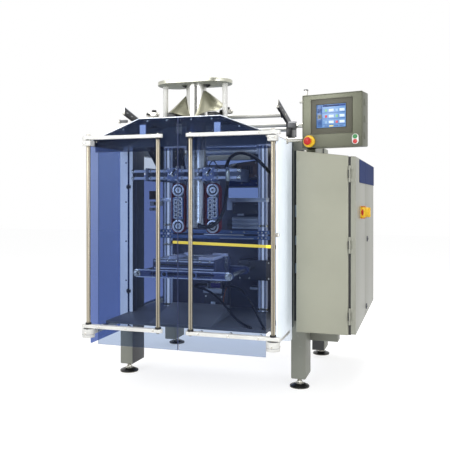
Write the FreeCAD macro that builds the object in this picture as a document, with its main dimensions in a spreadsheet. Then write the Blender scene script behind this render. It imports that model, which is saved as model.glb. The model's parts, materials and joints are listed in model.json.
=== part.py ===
import FreeCAD, Part
import math
import os
import Sketcher
from FreeCAD import Vector

# Vertical form fill seal machine. X runs across its front, Y to its back and Z up.
# Inner sizes are measured from the middle of the four feet; the origin is set under
# the middle of the whole machine.

SIZES = {
    # Frame of four posts on feet
    "post_spacing": 1040,
    "post_width": 80,
    "post_depth": 165,
    "frame_depth": 840,
    "post_bottom": 52,
    "post_top": 1367,
    "foot_radius": 55,
    "foot_thickness": 22,
    "foot_inset": 40,
    "foot_crown_radius": 30,
    "foot_edge": 9,
    "stem_radius": 12,
    "nut_radius": 17,
    "nut_height": 12,
    "beam_bottom": 290,
    "beam_height": 76,
    "beam_width": 60,
    "top_beam_height": 60,
    # Guard around the forming set
    "guard_offset": 23,
    "guard_half": 517,
    "guard_reach": 824,
    "glass_thickness": 8,
    "side_setback": 18,
    "side_lap": 48,
    "side_low": 262,
    "right_side_low": 340,
    "left_glass_high": 1190,
    "door_inset": 56,
    "door_seam": 4,
    "door_low": 264,
    "shoulder_drop": 22,
    "crown_rise": 113,
    "crown_half": 225,
    "sheet_thickness": 3,
    "hood_plate_drop": 56,
    "hood_plate_setback": 12,
    "slot_width": 34,
    "slot_height": 51,
    "slot_drop": 82,
    "slot_spacing": 206,
    "strip_width": 80,
    "strip_depth": 58,
    "strip_low": 268,
    "shelf_thickness": 12,
    "shelf_setback": 62,
    "shelf_inset": 68,
    # Doors, their rods and rails
    "rod_standoff": 26,
    "pivot_inset": 13,
    "left_handle": 101,
    "right_handle": 77,
    "rod_radius": 11,
    "rod_clearance": 0.3,
    "rail_low": 363,
    "rail_drop": -18,
    "rail_height": 18,
    "rail_width": 26,
    "rail_tail": 24,
    "rod_tip": 10,
    "boss_radius": 34,
    "boss_height": 44,
    "boss_gap": 5,
    "boss_floor": 12,
    "bearing_width": 46,
    "bearing_height": 28,
    "arm_width": 24,
    "arm_height": 24,
    # Forming set
    "tube_setback": 268,
    "tube_radius": 56,
    "tube_wall": 2,
    "tube_length": 785,
    "plate_thickness": 20,
    "plate_length": 426,
    "plate_offset": 9,
    "plate_width": 200,
    "stand_radius": 14,
    "stand_half": 175,
    "collar_lift": 49,
    "collar_height": 130,
    "plate_gap": 28,
    "collar_radius": 140,
    "collar_wall": 3,
    "collar_plate_thickness": 10,
    "collar_post_radius": 10,
    # Pull belts
    "unit_half": 101,
    "pulley_radius": 36,
    "pulley_width": 44,
    "pulley_lift": 5,
    "pulley_spacing": 200,
    "belt_thickness": 4,
    "unit_plate_thickness": 10,
    "vacuum_box_width": 52,
    "carrier_rod_radius": 8,
    "carrier_rod_lift": 65,
    "carrier_rod_spacing": 39,
    "carrier_rod_setout": 84,
    "carrier_rod_left": 348,
    "carrier_rod_right": 276,
    "slider_width": 62,
    "slider_margin": 16,
    "carrier_plate_left": 262,
    "carrier_plate_right": 201,
    "carrier_plate_thickness": 14,
    # Jaws and what drives them
    "shaft_radius": 7.5,
    "shaft_half": 278,
    "shaft_pitch": 22,
    "shaft_reach": 245,
    "shaft_drop": 17,
    "clamp_width": 107,
    "clamp_inset": 55,
    "clamp_height": 75,
    "yoke_drop": 567,
    "yoke_bar_height": 20,
    "yoke_bar_gap": 12,
    "yoke_depth": 44,
    "jaw_low": 22,
    "jaw_high": 76,
    "jaw_drop": 238,
    "jaw_half": 175,
    "jaw_depth": 40,
    "jaw_gap": 60,
    "jaw_guide_half": 256,
    "jaw_guide_radius": 11,
    "guide_tip": 20,
    "crosshead_setout": 219,
    "crosshead_depth": 24,
    "crosshead_height": 40,
    "bearing_radius": 22,
    "yellow_height": 14,
    "yellow_drop": 73,
    "yellow_fall": 12,
    "yellow_setback": 28,
    "yellow_left": 48,
    "back_plate_reach": 140,
    "back_plate_thickness": 12,
    "back_plate_left": 377,
    "window_left": 80,
    "window_right": 246,
    "upper_window_height": 59,
    "lower_window_left": 56,
    "lower_window_bottom": -323,
    "lower_window_top": -261,
    # Profiles and boxes on the machine plate
    "profile_left": -25,
    "profile_right": 278,
    "profile_depth": 45,
    "rib_radius": 11,
    "rib_pitch": 25,
    "end_plate_thickness": 26,
    "end_plate_margin": 4,
    "profile_bottom": -67,
    "profile_height": 74,
    "actuator_bottom": -511,
    "actuator_top": -436,
    "actuator_left": 112,
    "box_right": 269,
    "box_reach": 240,
    "box_wide_left": 99,
    "upper_box_bottom": -207,
    "upper_box_left_top": -121,
    "upper_box_right_top": -99,
    "middle_box_bottom": -258,
    "middle_box_top": -210,
    "middle_box_left": 77,
    "lower_box_bottom": -417,
    "lower_box_top": -351,
    "cap_width": 32,
    "cap_bottom": -509,
    "cap_top": -452,
    "rail_bar_bottom": -346,
    "rail_bar_top": -323,
    "rail_bar_left": 92,
    "rail_bar_right": 344,
    "rail_bar_depth": 28,
    "rail_bar_gap": 4.5,
    "hanger_width": 32,
    "light_block_bottom": -395,
    "gear_box_left": 158,
    "gear_box_right": 352,
    "gear_box_bottom": -802,
    "gear_box_top": -687,
    "gear_box_reach": 285,
    "small_bar_left": 220,
    "small_bar_right": 267,
    "small_bar_bottom": -864,
    "small_bar_height": 15,
    # Jaw drive and discharge chute on the shelf
    "drive_reach": 350,
    "drive_left": -7,
    "drive_width": 89,
    "drive_radius": 17.5,
    "drive_plate_low": 488,
    "drive_plate_thickness": 27,
    "drive_plate_left": -35,
    "drive_plate_width": 117,
    "drive_foot_left": -29,
    "drive_foot_width": 120,
    "drive_foot_depth": 60,
    "drive_slot_left": 12,
    "drive_slot_width": 29,
    "drive_slot_height": 61,
    "drive_slot_depth": 10,
    "drive_post_left": 95,
    "drive_post_width": 23,
    "drive_post_height": 184,
    "chute_left": 196,
    "chute_right": 150,
    "chute_setback": 69,
    "chute_clear": 136,
    "chute_lip": 3,
    "chute_rise": 60,
    # Hoses inside the guard
    "hose_radius": 10,
    "thin_hose_radius": 7,
    # Film rollers above the frame
    "roller_radius": 13,
    "roller_arm_inset_left": 80,
    "roller_arm_inset_right": 64,
    "roller_arm_thickness": 14,
    "roller_arm_height": 40,
    "roller_front_reach": 398,
    "roller_front_rise": 139,
    "roller_mid_reach": 242,
    "roller_mid_rise": 101,
    "roller_back_reach": 160,
    "roller_back_rise": 83,
    "arm_foot_thickness": 12,
    "gusset_thickness": 6,
    "gusset_width": 125,
    "gusset_height": 217,
    # Electrical cabinet
    "cabinet_width": 261,
    "cabinet_reach": 677,
    "cabinet_back": 430,
    "cabinet_height": 919,
    "cabinet_slope": 0.121,
    "cabinet_gap": 12,
    "leaf_thickness": 24,
    "leaf_margin": 6,
    "leaf_seam": 178,
    "leaf_seam_gap": 4,
    "hinge_outset": 6,
    "hinge_radius": 5.5,
    "hinge_height": 40,
    "hinge_play": 0.5,
    "hinge_tab": 24,
    "hinge_tab_thickness": 4,
    "band_height": 121,
    "band_drop": 160,
    "band_thickness": 3,
    "band_front": 504,
    "isolator_size": 66,
    "isolator_mid": 418,
    "isolator_rise": 603,
    "isolator_base": 8,
    "isolator_knob_radius": 20,
    "isolator_knob_length": 42,
    "cabinet_beam_height": 135,
    "cabinet_beam_length": 154,
    "cabinet_beam_width": 80,
    "cabinet_beam_inset": 45,
    # Control panel
    "panel_width": 312,
    "panel_height": 265,
    "panel_depth": 90,
    "panel_x": 751,
    "panel_setback": 27,
    "panel_lift": 13,
    "panel_turn": 12.6,
    "bezel_width": 215,
    "bezel_height": 175,
    "bezel_thickness": 4,
    "bezel_low": 66,
    "bezel_left": 47,
    "screen_width": 152,
    "screen_height": 114,
    "screen_thickness": 1,
    "mast_size": 20,
    "mast_rise": -10,
    "stay_radius": 11,
    "stay_flange_radius": 20,
    "stay_flange_thickness": 6,
    "stay_setback": 50,
    "stop_disc_radius": 30,
    "stop_disc_thickness": 14,
    "stop_head_radius": 20,
    "stop_head_length": 22,
    "stop_left": 38,
    "stop_low": 32,
    "button_width": 33,
    "button_height": 51,
    "button_depth": 9,
    "button_right": 34,
    "button_low": 34,
}


class Size:
    """A length, together with the expression that ties it to the sheet."""

    def __init__(self, text, value):
        self.text = text
        self.value = float(value)

    def joined(self, sign, other, value):
        return Size(f"({self.text} {sign} {text_of(other)})", value)

    def __add__(self, other):
        return self.joined("+", other, self.value + value_of(other))

    def __radd__(self, other):
        return size_of(other) + self

    def __sub__(self, other):
        return self.joined("-", other, self.value - value_of(other))

    def __rsub__(self, other):
        return size_of(other) - self

    def __mul__(self, other):
        return self.joined("*", other, self.value * value_of(other))

    def __rmul__(self, other):
        return self * other

    def __truediv__(self, other):
        return self.joined("/", other, self.value / value_of(other))

    def __neg__(self):
        return Size(f"(0 - {self.text})", -self.value)


def size_of(thing):
    if isinstance(thing, Size):
        return thing
    return Size(str(thing), thing)


def text_of(thing):
    return size_of(thing).text


def value_of(thing):
    return size_of(thing).value


doc = FreeCAD.newDocument("form_fill_seal_machine")
sheet = doc.addObject("Spreadsheet::Sheet", "sizes")


class Sheet:
    """The driving dimensions, each one a cell with its name as alias."""

    def __init__(self, sizes):
        for row, (name, number) in enumerate(sizes.items(), start=1):
            sheet.set(f"A{row}", name)
            sheet.set(f"B{row}", str(number))
            sheet.setAlias(f"B{row}", name)
            setattr(self, name, Size(f"sizes.{name}", number))


d = Sheet(SIZES)
doc.recompute()

# Places that several pieces share
post_x = d.post_spacing / 2
post_out = post_x + d.post_width / 2
post_in = post_x - d.post_width / 2
frame_out = d.frame_depth / 2
frame_in = frame_out - d.post_depth
beam_top = d.beam_bottom + d.beam_height
mid_x = -d.guard_offset
side_left = mid_x - d.guard_half
side_right = mid_x + d.guard_half
strip_front = -frame_out - d.strip_depth
strip_lows = (
    side_left + d.glass_thickness,
    side_right - d.glass_thickness - d.strip_width,
)
top_beam_low = d.post_top - d.top_beam_height
shelf_top = beam_top + d.shelf_thickness
shoulder = d.post_top - d.shoulder_drop
crown = shoulder + d.crown_rise
crown_in = crown + d.sheet_thickness
collar_bottom = crown_in + d.collar_lift
collar_top = collar_bottom + d.collar_height
plate_under = collar_top + d.plate_gap
pivot_y = -d.guard_reach - d.rod_standoff
pivot_half = d.guard_half - d.pivot_inset
rail_high = shoulder - d.rail_drop
tube_bottom = plate_under - d.tube_length
profile_low = d.post_top + d.profile_bottom
profile_high = profile_low + d.profile_height
pulley_low = tube_bottom + d.pulley_lift
pulley_high = pulley_low + d.pulley_spacing
carrier_low = pulley_high + d.carrier_rod_lift
carrier_high = carrier_low + d.carrier_rod_spacing
shaft_top = d.post_top - d.shaft_drop
jaw_mid = tube_bottom - d.jaw_drop
tube_y = -d.guard_reach + d.tube_setback
back_plate_y = -d.back_plate_reach
plate_face = back_plate_y - d.back_plate_thickness
cabinet_left = post_out
cabinet_right = cabinet_left + d.cabinet_width
leaf_in = cabinet_right + d.cabinet_gap
leaf_out = leaf_in + d.leaf_thickness
isolator_out = leaf_out + d.isolator_base + d.isolator_knob_length
boss_high = d.rail_low - d.rail_height / 2 - d.boss_gap
boss_low = boss_high - d.boss_height
bearing_high = rail_high - d.rail_height / 2 - d.boss_gap
bearing_low = bearing_high - d.bearing_height
cabinet_low = beam_top
cabinet_high = cabinet_low + d.cabinet_height
panel_low = cabinet_high + d.panel_lift
panel_reach = d.cabinet_reach - d.panel_setback
guard_front = pivot_y - d.boss_radius
machine_back = d.cabinet_back + d.hinge_outset + d.hinge_radius

# The origin lies under the middle of the machine's box
origin_x = (post_x + d.foot_radius - isolator_out) / 2
origin_y = (-guard_front - machine_back) / 2


def bind(thing, name, size):
    """Ties one property of an object to the sheet."""
    thing.setExpression(name, text_of(size))


def place(thing, x, y, z, rotation=None):
    """Puts an object at a place measured from the middle of the feet."""
    if rotation:
        thing.Placement = FreeCAD.Placement(Vector(0, 0, 0), rotation)
    bind(thing, "Placement.Base.x", origin_x + x)
    bind(thing, "Placement.Base.y", origin_y + y)
    bind(thing, "Placement.Base.z", size_of(z))
    return thing


TURNS = {
    "X": FreeCAD.Rotation(Vector(0, 1, 0), 90),
    "Y": FreeCAD.Rotation(Vector(1, 0, 0), -90),
    "Z": FreeCAD.Rotation(),
}


def block(x, y, z):
    """Box between two values on each axis."""
    thing = doc.addObject("Part::Box", "block")
    bind(thing, "Length", x[1] - size_of(x[0]))
    bind(thing, "Width", y[1] - size_of(y[0]))
    bind(thing, "Height", z[1] - size_of(z[0]))
    return place(thing, x[0], y[0], z[0])


def rod(x, y, z, radius, length, axis="Z"):
    """Cylinder from the middle of its first end."""
    thing = doc.addObject("Part::Cylinder", "rod")
    bind(thing, "Radius", radius)
    bind(thing, "Height", length)
    return place(thing, x, y, z, TURNS[axis])


def ring(x, y, z, outer, inner, length, axis="Z"):
    """Cylinder with a round bore right through."""
    return cut(rod(x, y, z, outer, length, axis), rod(x, y, z, inner, length, axis))


def cut(base, *tools):
    """The base with the tools taken out of it."""
    for tool in tools:
        thing = doc.addObject("Part::Cut", "cut")
        thing.Base = base
        thing.Tool = tool
        base = thing
    return base


def fuse(*things):
    """Pieces joined into one solid."""
    thing = doc.addObject("Part::MultiFuse", "fuse")
    thing.Shapes = list(things)
    thing.Refine = True
    return thing


def group(*things):
    """Like pieces that share a node without touching."""
    thing = doc.addObject("Part::Compound", "set")
    thing.Links = list(things)
    return thing


def origin_plane(body, role):
    return next(item for item in body.Origin.OriginFeatures if item.Role == role)


def outline(body, role, points):
    """Closed outline on an origin plane, each corner held by two dimensions."""
    sketch = body.newObject("Sketcher::SketchObject", "outline")
    sketch.AttachmentSupport = [(origin_plane(body, role), "")]
    sketch.MapMode = "FlatFace"
    count = len(points)
    for index, (across, up) in enumerate(points):
        following = points[(index + 1) % count]
        first = Vector(value_of(across), value_of(up), 0)
        last = Vector(value_of(following[0]), value_of(following[1]), 0)
        sketch.addGeometry(Part.LineSegment(first, last), False)
    for index in range(count):
        sketch.addConstraint(
            Sketcher.Constraint("Coincident", index, 2, (index + 1) % count, 1)
        )
    for index, (across, up) in enumerate(points):
        for kind, size in (("DistanceX", across), ("DistanceY", up)):
            number = sketch.addConstraint(
                Sketcher.Constraint(kind, -1, 1, index, 1, value_of(size))
            )
            sketch.setExpression(f"Constraints[{number}]", text_of(size))
    return sketch


def slab(role, points, depth, place_at, backwards=False):
    """Outline on an origin plane, padded to a depth."""
    body = doc.addObject("PartDesign::Body", "slab")
    sketch = outline(body, role, points)
    pad = body.newObject("PartDesign::Pad", "pad")
    pad.Profile = sketch
    pad.Reversed = backwards
    bind(pad, "Length", depth)
    return place(body, *place_at)


def front_slab(points, y, depth):
    """Outline seen from the front, as x and z, padded towards the back."""
    return slab("XZ_Plane", points, depth, (0, y, 0), backwards=True)


def side_slab(points, x, depth):
    """Outline seen from the side, as y and z, padded towards the right."""
    return slab("YZ_Plane", points, depth, (x, 0, 0))


def turned(points, x, y):
    """Outline of radius and height, turned right round its upright axis."""
    body = doc.addObject("PartDesign::Body", "turned")
    sketch = outline(body, "XZ_Plane", points)
    feature = body.newObject("PartDesign::Revolution", "turn")
    feature.Profile = sketch
    feature.ReferenceAxis = (sketch, ["V_Axis"])
    feature.Angle = 360
    return place(body, x, y, 0)


nodes = []


def name_node(label, thing):
    """Gives a finished sub-part the name of its file."""
    thing.Label = label
    nodes.append(thing)
    return thing


SHAFT_STEPS = (0, 1, 2)
SPACER_STEPS = (1, 7, 13)
ARC_SHARE = 0.45
CORNERS = [(hand, away) for away in (-1, 1) for hand in (-1, 1)]


def from_top(height):
    """Height measured from the top of the posts, downwards as a negative size."""
    return d.post_top + height


def add_posts():
    posts = []
    for hand, away in CORNERS:
        x = post_x * hand
        y = (frame_out + frame_in) / 2 * away
        posts.append(
            block(
                (x - d.post_width / 2, x + d.post_width / 2),
                (y - d.post_depth / 2, y + d.post_depth / 2),
                (d.post_bottom, d.post_top),
            )
        )
    name_node("frame_posts", group(*posts))


def add_feet():
    """Levelling feet: a moulded disc, a lock nut and a threaded stem."""
    feet = []
    for hand, away in CORNERS:
        profile = [
            (0, 0),
            (d.foot_radius, 0),
            (d.foot_radius, d.foot_edge),
            (d.foot_crown_radius, d.foot_thickness),
            (d.nut_radius, d.foot_thickness),
            (d.nut_radius, d.foot_thickness + d.nut_height),
            (d.stem_radius, d.foot_thickness + d.nut_height),
            (d.stem_radius, d.post_bottom),
            (0, d.post_bottom),
        ]
        feet.append(turned(profile, post_x * hand, (frame_out - d.foot_inset) * away))
    name_node("levelling_feet", group(*feet))


def add_base_beams():
    """Beams round the foot of the frame, between the posts."""
    z = (d.beam_bottom, beam_top)
    inset = (d.post_depth - d.beam_width) / 2
    near = frame_in + inset
    across = [
        block((-post_in, post_in), (y, y + d.beam_width), z)
        for y in (-near - d.beam_width, near)
    ]
    along = [
        block((x - d.beam_width / 2, x + d.beam_width / 2), (-frame_in, frame_in), z)
        for x in (-post_x, post_x)
    ]
    name_node("base_beams", group(*across, *along))


def add_top_beams():
    z = (top_beam_low, d.post_top)
    back = block((-post_in, post_in), (frame_out - d.beam_width, frame_out), z)
    along = [
        block((x - d.beam_width / 2, x + d.beam_width / 2), (-frame_in, frame_in), z)
        for x in (-post_x, post_x)
    ]
    name_node("top_beams", group(back, *along))


def add_shelf():
    """Shelf on the base beams, notched round the bright strips."""
    shelf_half = d.guard_half - d.shelf_inset
    shelf = block(
        (mid_x - shelf_half, mid_x + shelf_half),
        (-d.guard_reach + d.shelf_setback, back_plate_y),
        (beam_top, shelf_top),
    )
    gap = d.rod_clearance
    notches = [
        block(
            (x_low - gap, x_low + d.strip_width + gap),
            (strip_front - gap, -frame_out + gap),
            (beam_top, shelf_top),
        )
        for x_low in strip_lows
    ]
    name_node("guard_shelf", cut(shelf, *notches))


def add_back_plate():
    """Machine plate behind the forming set, standing on the shelf, with two windows."""
    y = (plate_face, back_plate_y)
    plate = block((mid_x - d.back_plate_left, post_in), y, (shelf_top, top_beam_low))
    upper = block(
        (mid_x - d.window_left, mid_x + d.window_right),
        y,
        (top_beam_low - d.upper_window_height, top_beam_low),
    )
    lower = block(
        (mid_x + d.lower_window_left, mid_x + d.window_right),
        y,
        (from_top(d.lower_window_bottom), from_top(d.lower_window_top)),
    )
    name_node("machine_plate", cut(plate, upper, lower))


def add_fixed_glass():
    """Tinted sheets beside the doors, across the back and in the left side."""
    front = -d.guard_reach + d.side_setback
    back = strip_front + d.side_lap
    across = frame_out - d.beam_width
    rear_z = (beam_top, top_beam_low)
    sheets = [
        block((side_left, side_left + d.glass_thickness), (front, back), (d.side_low, shoulder)),
        block(
            (side_right - d.glass_thickness, side_right),
            (front, back),
            (d.right_side_low, shoulder),
        ),
        block((-post_in, post_in), (across, across + d.glass_thickness), rear_z),
        block(
            (-post_x, -post_x + d.glass_thickness),
            (-frame_in, frame_in),
            (beam_top, d.left_glass_high),
        ),
    ]
    name_node("fixed_glass", group(*sheets))


def add_hinge_strips():
    """Bright upright profiles between the side glass and the front posts."""
    strips = []
    for low_x in strip_lows:
        strips.append(
            block(
                (low_x, low_x + d.strip_width),
                (strip_front, -frame_out),
                (d.strip_low, shoulder),
            )
        )
    name_node("hinge_strips", group(*strips))


def hood_points(rise):
    """Outline of the guard's top, raised by a sheet's thickness."""
    return [
        (side_left, shoulder + rise),
        (mid_x - d.crown_half, crown + rise),
        (mid_x + d.crown_half, crown + rise),
        (side_right, shoulder + rise),
    ]


def add_hood():
    """Folded roof sheet over the guard, and the plates that close its front and back."""
    front = -d.guard_reach + d.hood_plate_setback
    sheet_points = hood_points(d.sheet_thickness) + hood_points(0)[::-1]
    roof = front_slab(sheet_points, front, -frame_out - front)
    hole = rod(mid_x, tube_y, shoulder, d.tube_radius + d.rod_clearance, crown_in - shoulder)
    name_node("hood_roof", cut(roof, hole))
    plate_low = shoulder - d.hood_plate_drop
    inner_left = side_left + d.glass_thickness
    inner_right = side_right - d.glass_thickness
    steepness = d.crown_rise / (d.guard_half - d.crown_half)
    edge = shoulder + steepness * d.glass_thickness
    plate = front_slab(
        [
            (inner_left, plate_low),
            (inner_left, edge),
            (mid_x - d.crown_half, crown),
            (mid_x + d.crown_half, crown),
            (inner_right, edge),
            (inner_right, plate_low),
        ],
        front,
        d.sheet_thickness,
    )
    holes = [
        block(
            (x - d.slot_width / 2, x + d.slot_width / 2),
            (front, front + d.sheet_thickness),
            (crown - d.slot_drop, crown - d.slot_drop + d.slot_height),
        )
        for x in (mid_x - d.slot_spacing, mid_x, mid_x + d.slot_spacing)
    ]
    gap = d.rod_clearance
    for low_x in (inner_left, inner_right - d.arm_width):
        holes.append(
            block(
                (low_x - gap, low_x + d.arm_width + gap),
                (front, front + d.sheet_thickness),
                (plate_low, bearing_low + d.arm_height + gap),
            )
        )
    back_plate = front_slab(hood_points(0), -frame_out - d.sheet_thickness, d.sheet_thickness)
    name_node("hood_ends", group(cut(plate, *holes), back_plate))


def round_bar(x_low, x_high, y, z, width, height):
    """Flat bar along X with half-round ends, seen from above."""
    body = block((x_low, x_high), (y - width / 2, y + width / 2), (z, z + height))
    ends = [rod(x, y, z, width / 2, height) for x in (x_low, x_high)]
    return fuse(body, *ends)


def add_guard_door(name, hand, handle):
    """One glazed door: its sheet, its two rails and its two rods."""
    pivot = mid_x + pivot_half * hand
    grip = mid_x + handle * hand
    outer = mid_x + (d.guard_half - d.door_inset) * hand
    inner = mid_x + d.door_seam / 2 * hand
    bend = mid_x + d.crown_half * hand
    y = pivot_y
    sheet_points = [
        (outer, d.door_low),
        (inner, d.door_low),
        (inner, crown),
        (bend, crown),
        (outer, shoulder),
    ]
    name_node(
        f"door_glass_{name}", front_slab(sheet_points, -d.guard_reach, d.glass_thickness)
    )
    rail_ends = sorted((pivot + d.rail_tail * hand, grip - d.rail_tail / 2 * hand), key=value_of)
    spacer_from = y + d.rail_width / 2 - d.rod_clearance
    rails = []
    for z in (d.rail_low, rail_high):
        low = z - d.rail_height / 2
        bar = round_bar(*rail_ends, y, low, d.rail_width, d.rail_height)
        spacers = [
            rod(
                outer - d.rail_width * step * hand,
                spacer_from,
                z,
                d.rail_height / 2 - d.rod_clearance,
                -d.guard_reach - spacer_from,
                "Y",
            )
            for step in SPACER_STEPS
        ]
        rods = [rod(x, y, low, d.rod_radius, d.rail_height) for x in (pivot, grip)]
        rails.append(cut(fuse(bar, *spacers), *rods))
    name_node(f"door_rails_{name}", group(*rails))
    bottom = boss_low + d.boss_floor + d.rod_clearance
    top = rail_high + d.rail_height / 2 + d.rod_tip
    grip_low = d.rail_low - d.rail_height / 2
    grip_top = rail_high + d.rail_height / 2
    rods = [
        rod(pivot, y, bottom, d.rod_radius, top - bottom),
        rod(grip, y, grip_low, d.rod_radius, grip_top - grip_low),
    ]
    name_node(f"door_rods_{name}", group(*rods))


def add_pivots():
    """White bosses and bearings for the pivot rods, and the arms that carry them."""
    bosses = []
    bearings = []
    arms = []
    y = pivot_y
    bore = d.rod_radius + d.rod_clearance
    half = d.bearing_width / 2
    for hand, glass_in in (
        (-1, side_left + d.glass_thickness),
        (1, side_right - d.glass_thickness - d.arm_width),
    ):
        x = mid_x + pivot_half * hand
        bosses.append(
            cut(
                rod(x, y, boss_low, d.boss_radius, d.boss_height),
                rod(x, y, boss_low + d.boss_floor, bore, d.boss_height - d.boss_floor),
            )
        )
        bearings.append(
            cut(
                block((x - half, x + half), (y - half, y + half), (bearing_low, bearing_high)),
                rod(x, y, bearing_low, bore, d.bearing_height),
            )
        )
        span = (glass_in, glass_in + d.arm_width)
        lift = (d.boss_height - d.arm_height) / 2
        arms.append(
            block(
                span,
                (y + d.boss_radius, strip_front),
                (boss_low + lift, boss_low + lift + d.arm_height),
            )
        )
        arms.append(
            block(span, (y + half, strip_front), (bearing_low, bearing_low + d.arm_height))
        )
    name_node("pivot_bearings", group(*bosses, *bearings))
    name_node("pivot_arms", group(*arms))


def add_infeed():
    """Infeed plate with its forming tube, on two stands."""
    half = d.plate_width / 2
    straight = d.plate_length / 2 - half
    plate_x = mid_x - d.plate_offset
    plate = round_bar(
        plate_x - straight, plate_x + straight, tube_y, plate_under, d.plate_width, d.plate_thickness
    )
    throat = rod(mid_x, tube_y, plate_under, d.tube_radius - d.tube_wall, d.plate_thickness)
    name_node("infeed_plate", cut(plate, throat))
    name_node(
        "forming_tube",
        ring(
            mid_x,
            tube_y,
            tube_bottom,
            d.tube_radius,
            d.tube_radius - d.tube_wall,
            d.tube_length,
        ),
    )
    stands = [
        rod(plate_x + d.stand_half * hand, tube_y, crown_in, d.stand_radius, plate_under - crown_in)
        for hand in (-1, 1)
    ]
    name_node("infeed_stands", group(*stands))


def cone(x, y, z, low_radius, high_radius, height):
    thing = doc.addObject("Part::Cone", "cone")
    bind(thing, "Radius1", low_radius)
    bind(thing, "Radius2", high_radius)
    bind(thing, "Height", height)
    return place(thing, x, y, z)


def add_collar():
    """Forming shoulder: a flared skirt round the tube, open in front."""
    neck = d.tube_radius + d.rod_clearance
    outer = cone(
        mid_x, tube_y, collar_bottom, d.collar_radius, neck + d.collar_wall, d.collar_height
    )
    inner = cone(
        mid_x, tube_y, collar_bottom, d.collar_radius - d.collar_wall, neck, d.collar_height
    )
    notch = front_slab(
        [
            (mid_x, collar_bottom - d.collar_wall),
            (mid_x + neck * 2, collar_top + d.collar_wall),
            (mid_x - neck * 2, collar_top + d.collar_wall),
        ],
        tube_y - d.collar_radius,
        d.collar_radius - d.tube_radius / 2,
    )
    name_node("forming_collar", cut(outer, inner, notch))
    base = collar_bottom - d.collar_plate_thickness
    side = d.collar_radius + d.collar_wall
    plate = cut(
        block((mid_x - side, mid_x + side), (tube_y - side, tube_y + side), (base, collar_bottom)),
        rod(mid_x, tube_y, base, neck, d.collar_plate_thickness),
    )
    legs = [
        rod(
            mid_x + (side - d.collar_post_radius * 2) * hand,
            tube_y + (side - d.collar_post_radius * 2) * away,
            crown_in,
            d.collar_post_radius,
            base - crown_in,
        )
        for hand in (-1, 1)
        for away in (-1, 1)
    ]
    name_node("collar_stand", fuse(plate, *legs))


def loop_slab(x, radius, y, width):
    """Solid with straight sides and round ends, over both pulleys."""
    body = block((x - radius, x + radius), (y, y + width), (pulley_low, pulley_high))
    ends = [rod(x, y, z, radius, width, "Y") for z in (pulley_low, pulley_high)]
    return fuse(body, *ends)


def belt_unit(hand):
    """Pull-belt unit beside the tube; returns its frame, two pulleys and belt."""
    x = mid_x + d.unit_half * hand
    front = tube_y - d.pulley_width / 2
    back = front + d.pulley_width
    plate = loop_slab(x, d.pulley_radius, back, d.unit_plate_thickness)
    half = d.vacuum_box_width / 2
    gap = d.pulley_radius + d.belt_thickness
    vacuum_box = block(
        (x - half, x + half), (front, back), (pulley_low + gap, pulley_high - gap)
    )
    tab = block(
        (x - half, x + half),
        (back, back + d.unit_plate_thickness),
        (pulley_high, carrier_low - d.slider_margin),
    )
    pulleys = [
        rod(x, front, z, d.pulley_radius, d.pulley_width, "Y") for z in (pulley_low, pulley_high)
    ]
    belt = cut(
        loop_slab(x, d.pulley_radius + d.belt_thickness, front, d.pulley_width),
        loop_slab(x, d.pulley_radius, front, d.pulley_width),
    )
    return fuse(plate, vacuum_box, tab), pulleys, belt


def add_belt_units():
    left_frame, left_pulleys, left_belt = belt_unit(-1)
    right_frame, right_pulleys, right_belt = belt_unit(1)
    name_node("belt_units", group(left_frame, right_frame))
    name_node("belt_pulleys", group(*left_pulleys, *right_pulleys))
    name_node("pull_belts", group(left_belt, right_belt))


def add_belt_carrier():
    """Cross rods before the tube, the sliders of both belt units and the side plates."""
    y = tube_y - d.carrier_rod_setout
    levels = (carrier_high, carrier_low)
    length = d.carrier_rod_left + d.carrier_rod_right
    start = mid_x - d.carrier_rod_left
    rods = [rod(start, y, z, d.carrier_rod_radius, length, "X") for z in levels]
    name_node("carrier_rods", group(*rods))
    low = carrier_low - d.slider_margin
    high = carrier_high + d.slider_margin
    half = d.slider_width / 2
    unit_back = tube_y + d.pulley_width / 2 + d.unit_plate_thickness
    sliders = []
    for hand in (-1, 1):
        x = mid_x + d.unit_half * hand
        bores = [
            rod(x - half, y, z, d.carrier_rod_radius, d.slider_width, "X") for z in levels
        ]
        body = block((x - half, x + half), (y - d.slider_margin, y + d.slider_margin), (low, high))
        hanger = block(
            (x - half / 2, x + half / 2), (y + d.slider_margin, unit_back), (low, carrier_high)
        )
        sliders.append(cut(fuse(body, hanger), *bores))
    name_node("belt_sliders", group(*sliders))
    plates = []
    for x, back in (
        (mid_x - d.carrier_plate_left, plate_face),
        (mid_x + d.carrier_plate_right, -d.box_reach),
    ):
        thickness = d.carrier_plate_thickness
        bores = [rod(x, y, z, d.carrier_rod_radius, thickness, "X") for z in levels]
        plate = block((x, x + thickness), (y - d.slider_margin, back), (low, high))
        plates.append(cut(plate, *bores))
    name_node("carrier_plates", group(*plates))


def shaft_places():
    """Places of the guide shafts, three on each side."""
    return [
        mid_x + (d.shaft_half + d.shaft_pitch * step) * hand
        for hand in (-1, 1)
        for step in SHAFT_STEPS
    ]


def shaft_rods(z_low, z_high):
    y = -d.shaft_reach
    return [rod(x, y, z_low, d.shaft_radius, z_high - z_low) for x in shaft_places()]


def add_shafts():
    """Guide shafts on the shelf, and the yoke bars that run across them."""
    y = -d.shaft_reach
    name_node("guide_shafts", group(*shaft_rods(shelf_top, shaft_top)))
    reach = d.shaft_half + d.shaft_pitch * len(SHAFT_STEPS)
    bars = []
    for step in (0, 1):
        z = d.post_top - d.yoke_drop + (d.yoke_bar_height + d.yoke_bar_gap) * step
        bar = block(
            (mid_x - reach, mid_x + reach),
            (y - d.yoke_depth / 2, y + d.yoke_depth / 2),
            (z, z + d.yoke_bar_height),
        )
        bars.append(cut(bar, *shaft_rods(z, z + d.yoke_bar_height)))
    name_node("yoke_bars", group(*bars))


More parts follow.
